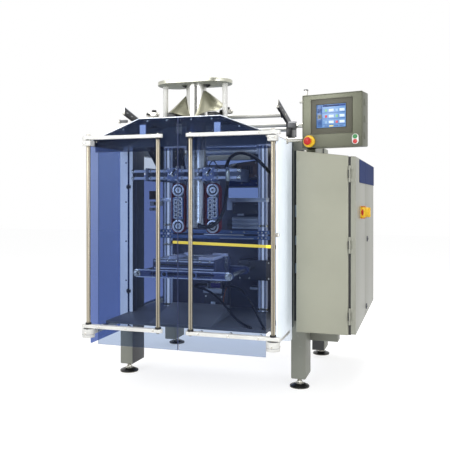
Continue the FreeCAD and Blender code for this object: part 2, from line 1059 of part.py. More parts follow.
def shaft_clamp(hand):
    """Block on the machine plate that holds the tops of three shafts."""
    inner = mid_x + (d.shaft_half - d.clamp_inset) * hand
    ends = sorted((inner, inner + d.clamp_width * hand), key=value_of)
    low = shaft_top - d.clamp_height
    body = block(ends, (-d.shaft_reach, plate_face), (low, shaft_top))
    return cut(body, *shaft_rods(low, shaft_top))


def plate_box(left, right, low, high):
    """Box in front of the machine plate, from the middle of the guard."""
    return block((mid_x + left, mid_x + right), (-d.box_reach, plate_face), (low, high))


def add_drive_boxes():
    """Dark boxes and clamps on the machine plate, and the gear box round three shafts."""
    left = mid_x + d.box_wide_left
    right = mid_x + d.box_right
    upper = front_slab(
        [
            (left, from_top(d.upper_box_bottom)),
            (right, from_top(d.upper_box_bottom)),
            (right, from_top(d.upper_box_right_top)),
            (left, from_top(d.upper_box_left_top)),
        ],
        -d.box_reach,
        plate_face + d.box_reach,
    )
    middle = plate_box(
        d.middle_box_left, d.box_right, from_top(d.middle_box_bottom), from_top(d.middle_box_top)
    )
    lower = plate_box(
        d.actuator_left, d.box_right, from_top(d.lower_box_bottom), from_top(d.lower_box_top)
    )
    cap_right = d.actuator_left - d.hinge_play
    cap = plate_box(
        cap_right - d.cap_width, cap_right, from_top(d.cap_bottom), from_top(d.cap_top)
    )
    gear_z = (from_top(d.gear_box_bottom), from_top(d.gear_box_top))
    gear_box = block(
        (mid_x + d.gear_box_left, mid_x + d.gear_box_right),
        (-d.gear_box_reach, plate_face),
        gear_z,
    )
    guide = rod(
        mid_x + d.jaw_guide_half,
        -d.gear_box_reach,
        jaw_mid,
        d.jaw_guide_radius,
        plate_face + d.gear_box_reach,
        "Y",
    )
    gear_box = cut(gear_box, guide, *shaft_rods(*gear_z))
    clamps = [shaft_clamp(hand) for hand in (-1, 1)]
    name_node("drive_boxes", group(upper, middle, lower, cap, gear_box, *clamps, drive_foot()))


def ribbed(left, right, y, low, high):
    """Extruded profile along X with half-round ribs on its front."""
    parts = [block((left, right), (y, y + d.profile_depth), (low, high))]
    count = int((value_of(high) - value_of(low)) / SIZES["rib_pitch"])
    for step in range(count):
        z = low + d.rib_radius + d.rib_pitch * step
        parts.append(rod(left, y, z, d.rib_radius, right - left, "X"))
    return fuse(*parts)


def rail_bar(left, right, hanger_left, hanger_right, front, *more):
    """Short bar before the shafts, hung from the machine plate."""
    z = (from_top(d.rail_bar_bottom), from_top(d.rail_bar_top))
    bar = block((left, right), (front, front + d.rail_bar_depth), z)
    hanger = block((hanger_left, hanger_right), (front, plate_face), z)
    return fuse(bar, hanger, *more)


def add_drive_profiles():
    """Bright profiles and bars in front of the machine plate, and the jaw drive."""
    left = mid_x + d.profile_left
    front = -d.shaft_reach - d.profile_depth - d.shaft_radius - d.rail_bar_gap
    upper = ribbed(left, mid_x + d.profile_right, front, profile_low, profile_high)
    margin = d.end_plate_margin
    end_plate = block(
        (left - d.end_plate_thickness, left),
        (front - margin, front + d.profile_depth + margin),
        (profile_low - margin, profile_high + margin),
    )
    spacer = block(
        (mid_x + d.shaft_half - d.clamp_inset, mid_x + d.shaft_half - d.shaft_pitch),
        (front, -d.shaft_reach),
        (profile_low, shaft_top),
    )
    actuator_x = (mid_x + d.actuator_left, mid_x + d.box_right)
    actuator_z = (from_top(d.actuator_bottom), from_top(d.actuator_top))
    actuator = ribbed(*actuator_x, -d.box_reach, *actuator_z)
    seat = block(actuator_x, (-d.box_reach + d.profile_depth, plate_face), actuator_z)
    bar_front = -d.shaft_reach - d.shaft_radius - d.rail_bar_depth - d.rail_bar_gap
    hanger_right = mid_x + d.middle_box_left + d.hanger_width
    light_block = plate_box(
        d.middle_box_left,
        d.middle_box_left + d.hanger_width,
        from_top(d.light_block_bottom),
        from_top(d.rail_bar_bottom),
    )
    right_bar = rail_bar(
        mid_x + d.rail_bar_left,
        mid_x + d.rail_bar_right,
        mid_x + d.middle_box_left,
        hanger_right,
        bar_front,
        light_block,
    )
    shaft_inner = d.shaft_half - d.shaft_radius * 2
    left_bar = rail_bar(
        mid_x - d.shaft_half - d.shaft_pitch * 2 - d.shaft_radius,
        mid_x - shaft_inner + d.hanger_width / 2,
        mid_x - shaft_inner,
        mid_x - shaft_inner + d.hanger_width / 2,
        bar_front,
    )
    small_low = from_top(d.small_bar_bottom)
    small_bar = block(
        (mid_x + d.small_bar_left, mid_x + d.small_bar_right),
        (-d.shaft_reach, plate_face),
        (small_low, small_low + d.small_bar_height),
    )
    name_node(
        "drive_profiles",
        group(
            fuse(upper, end_plate, spacer), fuse(actuator, seat), right_bar, left_bar, small_bar
        ),
    )


def drive_foot():
    """Dark bracket of the jaw drive, standing on the shelf, with its side post."""
    y = -d.drive_reach
    left = mid_x + d.drive_foot_left
    foot = block(
        (left, left + d.drive_foot_width),
        (y, y + d.drive_foot_depth),
        (shelf_top, d.drive_plate_low),
    )
    slot_left = mid_x + d.drive_slot_left
    slot = block(
        (slot_left, slot_left + d.drive_slot_width),
        (y, y + d.drive_slot_depth),
        (shelf_top, shelf_top + d.drive_slot_height),
    )
    post_left = mid_x + d.drive_post_left
    post = block(
        (post_left, post_left + d.drive_post_width),
        (y, y + d.drive_foot_depth),
        (shelf_top, shelf_top + d.drive_post_height),
    )
    bridge = block(
        (left, post_left + d.drive_post_width),
        (y + d.drive_foot_depth / 2, y + d.drive_foot_depth),
        (shelf_top, shelf_top + d.drive_slot_height / 2),
    )
    return fuse(cut(foot, slot), post, bridge)


def add_jaw_drive():
    """Cylinder that works the jaws, on its plate."""
    y = -d.drive_reach
    plate_left = mid_x + d.drive_plate_left
    plate = block(
        (plate_left, plate_left + d.drive_plate_width),
        (y, y + d.drive_foot_depth),
        (d.drive_plate_low, d.drive_plate_low + d.drive_plate_thickness),
    )
    barrel = rod(
        mid_x + d.drive_left,
        y + d.drive_foot_depth / 2,
        d.drive_plate_low + d.drive_plate_thickness + d.drive_radius,
        d.drive_radius,
        d.drive_width,
        "X",
    )
    cradle = block(
        (mid_x + d.drive_left, mid_x + d.drive_left + d.drive_width),
        (y + d.drive_foot_depth / 3, y + d.drive_foot_depth * 2 / 3),
        (
            d.drive_plate_low + d.drive_plate_thickness,
            d.drive_plate_low + d.drive_plate_thickness + d.drive_radius,
        ),
    )
    name_node("jaw_drive", fuse(plate, barrel, cradle))


def add_chute():
    """Wedge on the shelf that lets the filled bags slide out to the front."""
    front = -d.guard_reach + d.chute_setback
    back = tube_y + d.chute_clear
    points = [
        (front, shelf_top),
        (back, shelf_top),
        (back, shelf_top + d.chute_rise),
        (front, shelf_top + d.chute_lip),
    ]
    name_node(
        "discharge_chute", side_slab(points, mid_x - d.chute_left, d.chute_left + d.chute_right)
    )


# Routes of the hoses, with each point's place from the middle of the feet
MAIN_HOSE = [
    (9.5, -602.2, 893),
    (30.2, -631.6, 893),
    (76, -640, 886),
    (112, -622, 904),
    (137, -598, 946),
    (147, -568, 1003),
    (140, -520, 1072),
    (124, -450, 1145),
    (112, -380, 1205),
    (110, -310, 1235),
    (110, -240.3, 1235),
]
OVER_HOSE = [
    (66, -240.3, 1190),
    (66, -282, 1190),
    (76, -325, 1235),
    (112, -348, 1288),
    (170, -352, 1308),
    (232, -348, 1292),
    (280, -335, 1255),
    (318, -300, 1205),
    (338, -225, 1165),
    (338, -152.3, 1165),
]
LEFT_HOSE = [
    (-30.3, -320, 532.5),
    (-80, -322, 534),
    (-112, -362, 533),
    (-80, -412, 530),
    (-12, -440, 524),
    (69, -490, 499),
    (144, -550, 455),
    (205, -610, 415),
    (267, -670, 389),
    (330, -725, 385.3),
]
RIGHT_HOSE = [
    (83.5, -350.3, 533),
    (83.5, -388, 533),
    (163, -428, 545),
    (222, -478, 530),
    (283, -545, 484),
    (335, -608, 432),
    (378, -665, 392),
    (405, -728, 385.3),
]


def route_points(route):
    shift = Vector(value_of(origin_x), value_of(origin_y), 0)
    return [Vector(*point) + shift for point in route]


def route_wire(points):
    """Straight runs joined by tangent arcs, as large as the runs beside them allow."""
    edges = []
    start = points[0]
    radii = []
    for before, corner, after in zip(points, points[1:], points[2:]):
        back = (before - corner).normalize()
        ahead = (after - corner).normalize()
        run = ARC_SHARE * min((before - corner).Length, (after - corner).Length)
        half_turn = (math.pi - back.getAngle(ahead)) / 2
        radii.append(run / math.tan(half_turn))
        enter = corner + back * run
        leave = corner + ahead * run
        depth = radii[-1] / math.cos(half_turn) - radii[-1]
        middle = corner + (back + ahead).normalize() * depth
        edges.append(Part.LineSegment(start, enter).toShape())
        edges.append(Part.Arc(enter, middle, leave).toShape())
        start = leave
    edges.append(Part.LineSegment(start, points[-1]).toShape())
    return Part.Wire(edges), min(radii)


def hose(route, radius):
    """Round hose along a route."""
    points = route_points(route)
    wire, tightest = route_wire(points)
    along = (points[1] - points[0]).normalize()
    section = Part.Wire([Part.makeCircle(radius, points[0], along)])
    solid = wire.makePipeShell([section], True, True)
    share = solid.Volume / (math.pi * radius**2 * wire.Length)
    print(f"hose: length {wire.Length:.0f}, tightest bend {tightest:.0f}, volume {share:.4f}")
    return solid


def add_hoses():
    thick = value_of(d.hose_radius)
    thin = value_of(d.thin_hose_radius)
    solids = [
        hose(MAIN_HOSE, thick),
        hose(OVER_HOSE, thick),
        hose(LEFT_HOSE, thin),
        hose(RIGHT_HOSE, thin),
    ]
    thing = doc.addObject("Part::Feature", "hoses")
    thing.Shape = Part.makeCompound(solids)
    name_node("air_hoses", thing)


def add_yellow_bar():
    """Bright bar inside the guard, falling a little towards the right."""
    half = d.yellow_height / 2
    left = mid_x - d.yellow_left
    right = side_right - d.glass_thickness
    middle = tube_bottom - d.yellow_drop
    points = [
        (left, middle + d.yellow_fall / 2 - half),
        (right, middle - d.yellow_fall / 2 - half),
        (right, middle - d.yellow_fall / 2 + half),
        (left, middle + d.yellow_fall / 2 + half),
    ]
    front = -d.guard_reach + d.yellow_setback
    name_node("yellow_bar", front_slab(points, front - half, d.yellow_height))


def add_crosshead(name, y, jaw_span):
    """Cross bar that slides on both guides, with its sealing jaw."""
    z = jaw_mid
    guide_x = (mid_x - d.jaw_guide_half, mid_x + d.jaw_guide_half)
    half = d.crosshead_height / 2
    bar = block(guide_x, (y, y + d.crosshead_depth), (z - half, z + half))
    window = block(
        (mid_x - d.jaw_half, mid_x + d.jaw_half),
        (y, y + d.crosshead_depth),
        (z - half / 3, z + half / 3),
    )
    ends = [rod(x, y, z, d.bearing_radius, d.crosshead_depth, "Y") for x in guide_x]
    bore = d.jaw_guide_radius + d.rod_clearance
    bores = [rod(x, y, z, bore, d.crosshead_depth, "Y") for x in guide_x]
    name_node(f"crosshead_{name}", cut(fuse(bar, *ends), window, *bores))
    jaw = block(
        (mid_x - d.jaw_half, mid_x + d.jaw_half),
        jaw_span,
        (z - d.jaw_low, z + d.jaw_high),
    )
    name_node(f"jaw_{name}", jaw)


def add_jaws():
    """Sealing jaws on two crossheads, and the guides that the crossheads slide on."""
    face = d.jaw_gap / 2
    front = tube_y - d.crosshead_setout
    add_crosshead("front", front, (front + d.crosshead_depth, tube_y - face))
    rear = tube_y + face + d.jaw_depth
    add_crosshead("rear", rear, (tube_y + face, rear))
    start = front - d.guide_tip
    guides = [
        rod(
            mid_x + d.jaw_guide_half * hand,
            start,
            jaw_mid,
            d.jaw_guide_radius,
            plate_face - start,
            "Y",
        )
        for hand in (-1, 1)
    ]
    name_node("jaw_guides", group(*guides))


def add_roller_arms():
    """Side arms over the frame and the film rollers between them."""
    half = d.roller_arm_height / 2
    front_high = d.post_top + d.roller_front_rise
    mid_high = d.post_top + d.roller_mid_rise
    back_high = d.post_top + d.roller_back_rise
    steepness = (front_high - back_high) / (d.roller_front_reach - d.roller_back_reach)
    front = d.roller_front_reach + d.roller_arm_height * 4
    back = d.roller_back_reach - d.roller_arm_height * 2

    def height_at(reach):
        return back_high + steepness * (reach - d.roller_back_reach)

    foot_front = frame_in + d.beam_width
    foot_back = frame_in
    points = [
        (-front, height_at(front) - half),
        (-front, height_at(front) + half),
        (-back, height_at(back) + half),
        (-back, height_at(back) - half),
        (-foot_back, height_at(foot_back) - half),
        (-foot_back, d.post_top),
        (-foot_front, d.post_top),
        (-foot_front, height_at(foot_front) - half),
    ]
    left = side_left + d.roller_arm_inset_left - d.roller_arm_thickness
    right = side_right - d.roller_arm_inset_right
    foot_y = (-foot_front, -foot_back)
    foot_z = (d.post_top, d.post_top + d.arm_foot_thickness)
    gusset_right = left + d.gusset_width
    gusset = front_slab(
        [
            (left, d.post_top),
            (gusset_right, d.post_top),
            (gusset_right, d.post_top - d.gusset_height),
        ],
        -foot_back - d.gusset_thickness,
        d.gusset_thickness,
    )
    left_foot = block((-post_x - d.beam_width / 2, gusset_right), foot_y, foot_z)
    right_foot = block((right, post_x + d.beam_width / 2), foot_y, foot_z)
    left_arm = fuse(side_slab(points, left, d.roller_arm_thickness), left_foot, gusset)
    right_arm = fuse(side_slab(points, right, d.roller_arm_thickness), right_foot)
    name_node("roller_arms", group(left_arm, right_arm))
    start = left + d.roller_arm_thickness
    rollers = [
        rod(start, -reach, z, d.roller_radius, right - start, "X")
        for reach, z in (
            (d.roller_front_reach, front_high),
            (d.roller_mid_reach, mid_high),
            (d.roller_back_reach, back_high),
        )
    ]
    name_node("film_rollers", group(*rollers))


def roof_at(x):
    """Height of the cabinet's sloping top."""
    return cabinet_high - (x - cabinet_left) * d.cabinet_slope


def add_cabinet():
    """Cabinet with a sloping top, on two beams beside the frame."""
    length = d.cabinet_reach + d.cabinet_back
    body = front_slab(
        [
            (cabinet_left, cabinet_low),
            (cabinet_right, cabinet_low),
            (cabinet_right, roof_at(cabinet_right)),
            (cabinet_left, roof_at(cabinet_left)),
        ],
        -d.cabinet_reach,
        length,
    )
    name_node("cabinet_body", body)
    x_from = post_x + d.beam_width / 2
    beams = []
    for away in (-1, 1):
        y = (frame_in - d.cabinet_beam_inset) * away
        beams.append(
            block(
                (x_from, cabinet_left + d.cabinet_beam_length),
                (y - d.cabinet_beam_width / 2, y + d.cabinet_beam_width / 2),
                (cabinet_low - d.cabinet_beam_height, cabinet_low),
            )
        )
    name_node("cabinet_beams", group(*beams))


HINGE_SHARES = (0.1, 0.5, 0.9)


def hinge_part(edge, step, z, length, tab_x):
    """Knuckle on a leaf's hinge axis with the tab that carries it."""
    tab_y = sorted((edge, edge + d.hinge_tab_thickness * step), key=value_of)
    axis_x = leaf_in - d.hinge_outset
    knuckle = rod(axis_x, edge + d.hinge_outset * step, z, d.hinge_radius, length)
    tab = block(sorted((axis_x, tab_x), key=value_of), tab_y, (z, z + length))
    return fuse(knuckle, tab)


def add_cabinet_doors():
    """Two upright leaves on hinges, with a band across their tops."""
    low = cabinet_low + d.leaf_margin
    seam_low = -d.leaf_seam - d.leaf_seam_gap / 2
    rear_span = (seam_low + d.leaf_seam_gap, d.cabinet_back)
    band_low = cabinet_high - d.band_drop
    band_z = (band_low, band_low + d.band_height)
    hinges = []
    for name, edge, step, span, band in (
        ("front", -d.cabinet_reach, -1, (-d.cabinet_reach, seam_low), (-d.band_front, seam_low)),
        ("rear", d.cabinet_back, 1, rear_span, rear_span),
    ):
        leaf = front_slab(
            [
                (leaf_in, low),
                (leaf_out, low),
                (leaf_out, roof_at(leaf_out)),
                (leaf_in, roof_at(leaf_in)),
            ],
            span[0],
            span[1] - span[0],
        )
        knuckles = []
        for share in HINGE_SHARES:
            z = low + (roof_at(leaf_in) - low) * share - d.hinge_height / 2
            hinges.append(hinge_part(edge, step, z, d.hinge_height, cabinet_right - d.hinge_tab))
            for end in (z - d.hinge_height / 2 - d.hinge_play, z + d.hinge_height + d.hinge_play):
                knuckles.append(
                    hinge_part(edge, step, end, d.hinge_height / 2, leaf_in + d.hinge_tab / 2)
                )
        name_node(f"cabinet_door_{name}", fuse(leaf, *knuckles))
        name_node(f"band_{name}", block((leaf_out, leaf_out + d.band_thickness), band, band_z))
    name_node("cabinet_hinges", group(*hinges))


def add_isolator():
    half = d.isolator_size / 2
    y = -d.isolator_mid
    z = cabinet_low + d.isolator_rise
    base = block((leaf_out, leaf_out + d.isolator_base), (y - half, y + half), (z - half, z + half))
    knob = rod(
        leaf_out + d.isolator_base, y, z, d.isolator_knob_radius, d.isolator_knob_length, "X"
    )
    name_node("isolator_switch", fuse(base, knob))


PANEL_TURN = FreeCAD.Rotation(Vector(0, 0, 1), -SIZES["panel_turn"])


def panel_place(thing, across, away, up):
    """Puts a piece in the panel's own turned frame, from its middle and its foot."""
    facing = PANEL_TURN.multVec(Vector(1, 0, 0))
    turn_cos = Size("cos(sizes.panel_turn * 1deg)", facing.x)
    turn_sin = Size("sin(sizes.panel_turn * 1deg)", -facing.y)
    across = size_of(across)
    away = size_of(away)
    x = d.panel_x + across * turn_cos + away * turn_sin
    y = -panel_reach - across * turn_sin + away * turn_cos
    return place(thing, x, y, panel_low + up)


def panel_block(x, y, z):
    thing = doc.addObject("Part::Box", "panel_block")
    bind(thing, "Length", x[1] - size_of(x[0]))
    bind(thing, "Width", y[1] - size_of(y[0]))
    bind(thing, "Height", z[1] - size_of(z[0]))
    thing.Placement = FreeCAD.Placement(Vector(0, 0, 0), PANEL_TURN)
    bind(thing, "Placement.Rotation.Angle", -d.panel_turn)
    return panel_place(thing, x[0], y[0], size_of(z[0]))


def panel_rod(x, y, z, radius, length):
    """Cylinder that stands out of the panel's front."""
    thing = doc.addObject("Part::Cylinder", "panel_rod")
    bind(thing, "Radius", radius)
    bind(thing, "Height", length)
    thing.Placement = FreeCAD.Placement(Vector(0, 0, 0), PANEL_TURN.multiply(TURNS["Y"]))
    return panel_place(thing, x, y - length, z)


def panel_body():
    half = d.panel_width / 2
    return panel_block(
        (-half, half), (-d.panel_depth / 2, d.panel_depth / 2), (0, d.panel_height)
    )


def add_panel():
    """Control panel box with bezel, screen, stop button and push buttons."""
    half = d.panel_width / 2
    front = -d.panel_depth / 2
    name_node("panel_box", panel_body())
    left = -half + d.bezel_left
    name_node(
        "panel_bezel",
        panel_block(
            (left, left + d.bezel_width),
            (front - d.bezel_thickness, front),
            (d.bezel_low, d.bezel_low + d.bezel_height),
        ),
    )
    side = (d.bezel_width - d.screen_width) / 2
    rise = (d.bezel_height - d.screen_height) / 2
    face = front - d.bezel_thickness
    name_node(
        "panel_screen",
        panel_block(
            (left + side, left + side + d.screen_width),
            (face - d.screen_thickness, face),
            (d.bezel_low + rise, d.bezel_low + rise + d.screen_height),
        ),
    )
    stop_x = -half + d.stop_left
    name_node(
        "stop_disc", panel_rod(stop_x, front, d.stop_low, d.stop_disc_radius, d.stop_disc_thickness)
    )
    name_node(
        "stop_head",
        panel_rod(
            stop_x,
            front - d.stop_disc_thickness,
            d.stop_low,
            d.stop_head_radius,
            d.stop_head_length,
        ),
    )
    button_x = half - d.button_right
    name_node(
        "push_buttons",
        panel_block(
            (button_x - d.button_width / 2, button_x + d.button_width / 2),
            (front - d.button_depth, front),
            (d.button_low - d.button_height / 2, d.button_low + d.button_height / 2),
        ),
    )


def add_mast():
    """Square mast behind the panel, on a wedge foot on the cabinet's top."""
    half = d.panel_width / 2
    back = d.panel_depth / 2
    post = panel_block(
        (-half + d.mast_size / 2, -half + d.mast_size * 1.5),
        (back, back + d.mast_size),
        (0, d.panel_height + d.mast_rise),
    )
    foot_x = d.panel_x - half + d.mast_size
    foot_y = -panel_reach + back + d.mast_size
    low_x = foot_x - d.mast_size
    high_x = foot_x + d.mast_size * 1.5
    foot = front_slab(
        [
            (low_x, roof_at(low_x)),
            (high_x, roof_at(high_x)),
            (high_x, panel_low),
            (low_x, panel_low),
        ],
        foot_y - d.mast_size,
        d.mast_size * 3,
    )
    name_node("panel_mast", fuse(post, foot))


def add_stay():
    """Round stay with a flange, from the guard's corner to the panel box."""
    y = -panel_reach + d.stay_setback
    z = shoulder
    flange = rod(side_right, y, z, d.stay_flange_radius, d.stay_flange_thickness, "X")
    bar = rod(side_right, y, z, d.stay_radius, d.panel_x - d.panel_width / 3 - side_right, "X")
    name_node("panel_stay", cut(fuse(flange, bar), panel_body()))


add_posts()
add_feet()
add_base_beams()
add_top_beams()
add_shelf()
add_back_plate()
add_hinge_strips()
add_fixed_glass()
add_hood()
add_guard_door("left", -1, d.left_handle)
add_guard_door("right", 1, d.right_handle)
add_pivots()
add_infeed()
add_collar()
add_belt_units()
add_belt_carrier()
add_shafts()
add_drive_boxes()
add_drive_profiles()
add_jaw_drive()
add_chute()
add_hoses()
add_yellow_bar()
add_jaws()
add_roller_arms()
add_cabinet()
add_cabinet_doors()
add_isolator()
add_panel()
add_mast()
add_stay()

doc.recompute()

for item in doc.Objects:
    if "Invalid" in item.State or "Error" in item.State:
        raise RuntimeError(f"{item.Name} ({item.Label}) did not build: {item.State}")

os.makedirs("parts", exist_ok=True)
for item in nodes:
    if item.Shape.isNull() or not item.Shape.isValid():
        raise RuntimeError(f"{item.Label} is not a sound solid")
    item.Shape.exportStep(f"parts/{item.Label}.step")
    box = item.Shape.BoundBox
    print(
        f"{item.Label}: {len(item.Shape.Solids)} solids, {item.Shape.Volume / 1e6:.2f} l,"
        f" x {box.XMin:.0f} {box.XMax:.0f}, y {box.YMin:.0f} {box.YMax:.0f},"
        f" z {box.ZMin:.0f} {box.ZMax:.0f}"
    )
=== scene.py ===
import json
import math

import bmesh
import bpy
from mathutils import Matrix, Vector

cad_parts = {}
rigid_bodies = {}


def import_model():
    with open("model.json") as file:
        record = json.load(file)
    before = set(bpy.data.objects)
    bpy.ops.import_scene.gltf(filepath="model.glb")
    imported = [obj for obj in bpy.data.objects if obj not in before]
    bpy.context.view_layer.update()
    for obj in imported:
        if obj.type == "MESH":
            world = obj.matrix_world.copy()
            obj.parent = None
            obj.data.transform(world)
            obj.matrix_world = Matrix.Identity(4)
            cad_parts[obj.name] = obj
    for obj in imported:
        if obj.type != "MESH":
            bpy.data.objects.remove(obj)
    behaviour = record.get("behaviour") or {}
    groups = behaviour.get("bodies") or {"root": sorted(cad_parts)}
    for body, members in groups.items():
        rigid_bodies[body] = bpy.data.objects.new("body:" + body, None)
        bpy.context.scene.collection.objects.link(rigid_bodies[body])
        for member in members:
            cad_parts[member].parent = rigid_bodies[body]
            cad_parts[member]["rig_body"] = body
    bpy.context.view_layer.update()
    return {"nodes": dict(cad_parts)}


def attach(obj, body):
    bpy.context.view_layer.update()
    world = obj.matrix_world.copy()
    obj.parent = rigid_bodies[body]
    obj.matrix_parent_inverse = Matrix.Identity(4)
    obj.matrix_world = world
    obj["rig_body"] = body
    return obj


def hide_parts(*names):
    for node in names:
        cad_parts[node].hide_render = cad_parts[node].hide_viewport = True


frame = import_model()

# Sizes below are in millimetres from the middle of the four feet, as on the machine's drawing
ORIGIN = Vector((-166.0, 221.25, 0.0))
MM = 0.001

# The level camera that the photograph was taken with, in metres and degrees
CAMERA_PLACE = (1.0115, -3.56635, 1.05)
CAMERA_TURN = 17.7517
CAMERA_LENS = 49.79
CAMERA_SHIFT = -0.0623


# Shader maths


def value_of(thing):
    return thing.socket if isinstance(thing, Socket) else thing


class Socket:
    """One socket of a node, on which Python's operators add Math nodes."""

    def __init__(self, finish, socket):
        self.finish = finish
        self.socket = socket

    def maths(self, operation, *others):
        return self.finish.node("ShaderNodeMath", {"operation": operation}, *others)

    def __add__(self, other):
        return self.maths("ADD", self, other)

    def __radd__(self, other):
        return self.maths("ADD", other, self)

    def __sub__(self, other):
        return self.maths("SUBTRACT", self, other)

    def __rsub__(self, other):
        return self.maths("SUBTRACT", other, self)

    def __mul__(self, other):
        return self.maths("MULTIPLY", self, other)

    def __rmul__(self, other):
        return self.maths("MULTIPLY", other, self)

    def __truediv__(self, other):
        return self.maths("DIVIDE", self, other)

    def __gt__(self, other):
        return self.maths("GREATER_THAN", self, other)

    def __lt__(self, other):
        return self.maths("LESS_THAN", self, other)


class Finish:
    """A node material; the shader is a Principled one unless a finish swaps it."""

    def __init__(self, name):
        self.material = bpy.data.materials.new(name)
        self.material.use_nodes = True
        self.tree = self.material.node_tree
        self.shader = self.tree.nodes["Principled BSDF"]
        self.output = self.tree.nodes["Material Output"]

    def node(self, kind, settings=None, *values, out=0, **named):
        """Adds a node: its settings first, then values or links for its sockets."""
        made = self.tree.nodes.new(kind)
        for key, setting in (settings or {}).items():
            if key == "stops":
                ramp = made.color_ramp
                while len(ramp.elements) < len(setting):
                    ramp.elements.new(0.5)
                for element, (place, colour) in zip(ramp.elements, setting):
                    element.position = place
                    element.color = (*colour, 1)
            else:
                setattr(made, key, setting)
        for index, value in enumerate(values):
            self.feed(made.inputs[index], value)
        for key, value in named.items():
            self.feed(made.inputs[key.replace("_", " ")], value)
        return Socket(self, made.outputs[out])

    def feed(self, socket, value):
        value = value_of(value)
        if isinstance(value, bpy.types.NodeSocket):
            self.tree.links.new(value, socket)
        elif isinstance(value, tuple) and len(value) == 3 and socket.type == "RGBA":
            socket.default_value = (*value, 1)
        elif value is not None:
            socket.default_value = value

    def set(self, **named):
        for key, value in named.items():
            self.feed(self.shader.inputs[key.replace("_", " ")], value)
        return self

    def place(self):
        return self.node("ShaderNodeTexCoord", None, out=3)

    def noise(self, scale, detail=3.0, stretch=None):
        where = self.place()
        if stretch:
            where = self.node("ShaderNodeMapping", None, where, None, None, stretch)
        return self.node("ShaderNodeTexNoise", None, Vector=where, Scale=scale, Detail=detail)

    def mix(self, share, first, second):
        made = self.tree.nodes.new("ShaderNodeMix")
        made.data_type = "RGBA"
        self.feed(made.inputs[0], share)
        self.feed(made.inputs[6], first)
        self.feed(made.inputs[7], second)
        return Socket(self, made.outputs[2])

    def blended(self, share, low, high):
        """Share moved into a band and clamped."""
        return self.node(
            "ShaderNodeMapRange", {"clamp": True}, share, low, high, 0.0, 1.0
        )

    def bump(self, height, strength, distance=0.001):
        normal = self.node(
            "ShaderNodeBump", None, Strength=strength, Distance=distance, Height=height
        )
        self.feed(self.shader.inputs["Normal"], normal)


def lit(red, green, blue):
    """Colour as read off a picture, 0 to 255, as light."""
    return tuple(
        c / 12.92 if c <= 0.04045 else ((c + 0.055) / 1.055) ** 2.4
        for c in (red / 255, green / 255, blue / 255)
    )


def scaled(colour, share):
    return tuple(min(1.0, part * share) for part in colour)


def paint(name, colour, roughness=0.45, grain=900, wear=0.0, coat=0.0, sheen=0.5):
    """Sprayed paint: fine orange peel, faint cloudiness and rubbed patches."""
    finish = Finish(name)
    cloud = finish.noise(3.5, 4)
    share = finish.blended(cloud, 0.35, 0.7)
    tint = finish.mix(share, scaled(colour, 0.94), scaled(colour, 1.05))
    if wear:
        rubbed = finish.blended(finish.noise(38, 6), 0.66, 0.72) * wear
        tint = finish.mix(rubbed, tint, scaled(colour, 1.5))
    finish.set(Base_Color=tint, Coat_Weight=coat, Coat_Roughness=0.15, Specular_IOR_Level=sheen)
    finish.set(Roughness=cloud * 0.14 + (roughness - 0.07))
    finish.bump(finish.noise(grain, 2), 0.12, 0.0004)
    return finish.material


def metal(name, colour, roughness=0.28, stretch=(1, 1, 60), grain=60, metallic=1.0, depth=0.03):
    """Brushed or ground metal, with its grain across the stretched axis."""
    finish = Finish(name)
    grain_lines = finish.noise(grain, 5, stretch)
    share = finish.blended(grain_lines, 0.3, 0.7)
    stain = finish.noise(6, 3)
    tint = finish.mix(share, scaled(colour, 0.9), scaled(colour, 1.06))
    tint = finish.mix(finish.blended(stain, 0.45, 0.8) * 0.25, tint, scaled(colour, 0.75))
    finish.set(Base_Color=tint, Metallic=metallic)
    finish.set(Roughness=share * 0.12 + stain * 0.1 + (roughness - 0.1))
    finish.bump(grain_lines, depth, 0.0003)
    return finish.material


def moulded(name, colour, roughness=0.4, grain=700, metallic=0.0):
    """Moulded plastic or rubber with a fine texture."""
    finish = Finish(name)
    cloud = finish.noise(9, 3)
    tint = finish.mix(finish.blended(cloud, 0.3, 0.7), scaled(colour, 0.9), scaled(colour, 1.08))
    finish.set(Base_Color=tint, Metallic=metallic)
    finish.set(Roughness=cloud * 0.16 + (roughness - 0.08))
    finish.bump(finish.noise(grain, 2), 0.15, 0.0004)
    return finish.material


def tinted(name, colour, gloss_share, edge, low_colour=None):
    """Tinted clear sheet; each of its two faces takes half of the tint from what shows through."""
    finish = Finish(name)

    def see_through(shade):
        face = tuple(math.sqrt(part) for part in shade)
        return finish.node("ShaderNodeBsdfTransparent", None, face)

    def between(share, first, second):
        return finish.node("ShaderNodeMixShader", None, share, first, second)

    smear = finish.blended(finish.noise(2.2, 4), 0.3, 0.75)
    clear = see_through(colour)
    # An optional lower colour makes the tint darker towards the bottom: a painted shade gradient
    if low_colour:
        height = finish.node("ShaderNodeSeparateXYZ", None, finish.place(), out=2)
        clear = between(finish.blended(height, 0.3, 1.2), see_through(low_colour), clear)
    shadow = finish.node("ShaderNodeLightPath", None, out=1)
    pale = finish.node("ShaderNodeBsdfTransparent", None, (0.93, 0.95, 1.0))
    clear = between(shadow, clear, pale)
    finish.set(Base_Color=edge, Roughness=smear * 0.05 + 0.04)
    glance = finish.node("ShaderNodeFresnel", None, 1.4)
    share = glance * 0.35 + smear * 0.01 + gloss_share
    finish.feed(finish.output.inputs["Surface"], between(share, clear, finish.shader.outputs[0]))
    return finish.material


def cast_clear(name, colour):
    """Clear sheet behind the machine, which passes light straight through."""
    finish = Finish(name)
    smear = finish.blended(finish.noise(2.5, 4), 0.3, 0.75)
    finish.set(Base_Color=finish.mix(smear, scaled(colour, 0.97), colour), Roughness=0.0)
    finish.set(IOR=1.0, Transmission_Weight=1.0)
    return finish.material


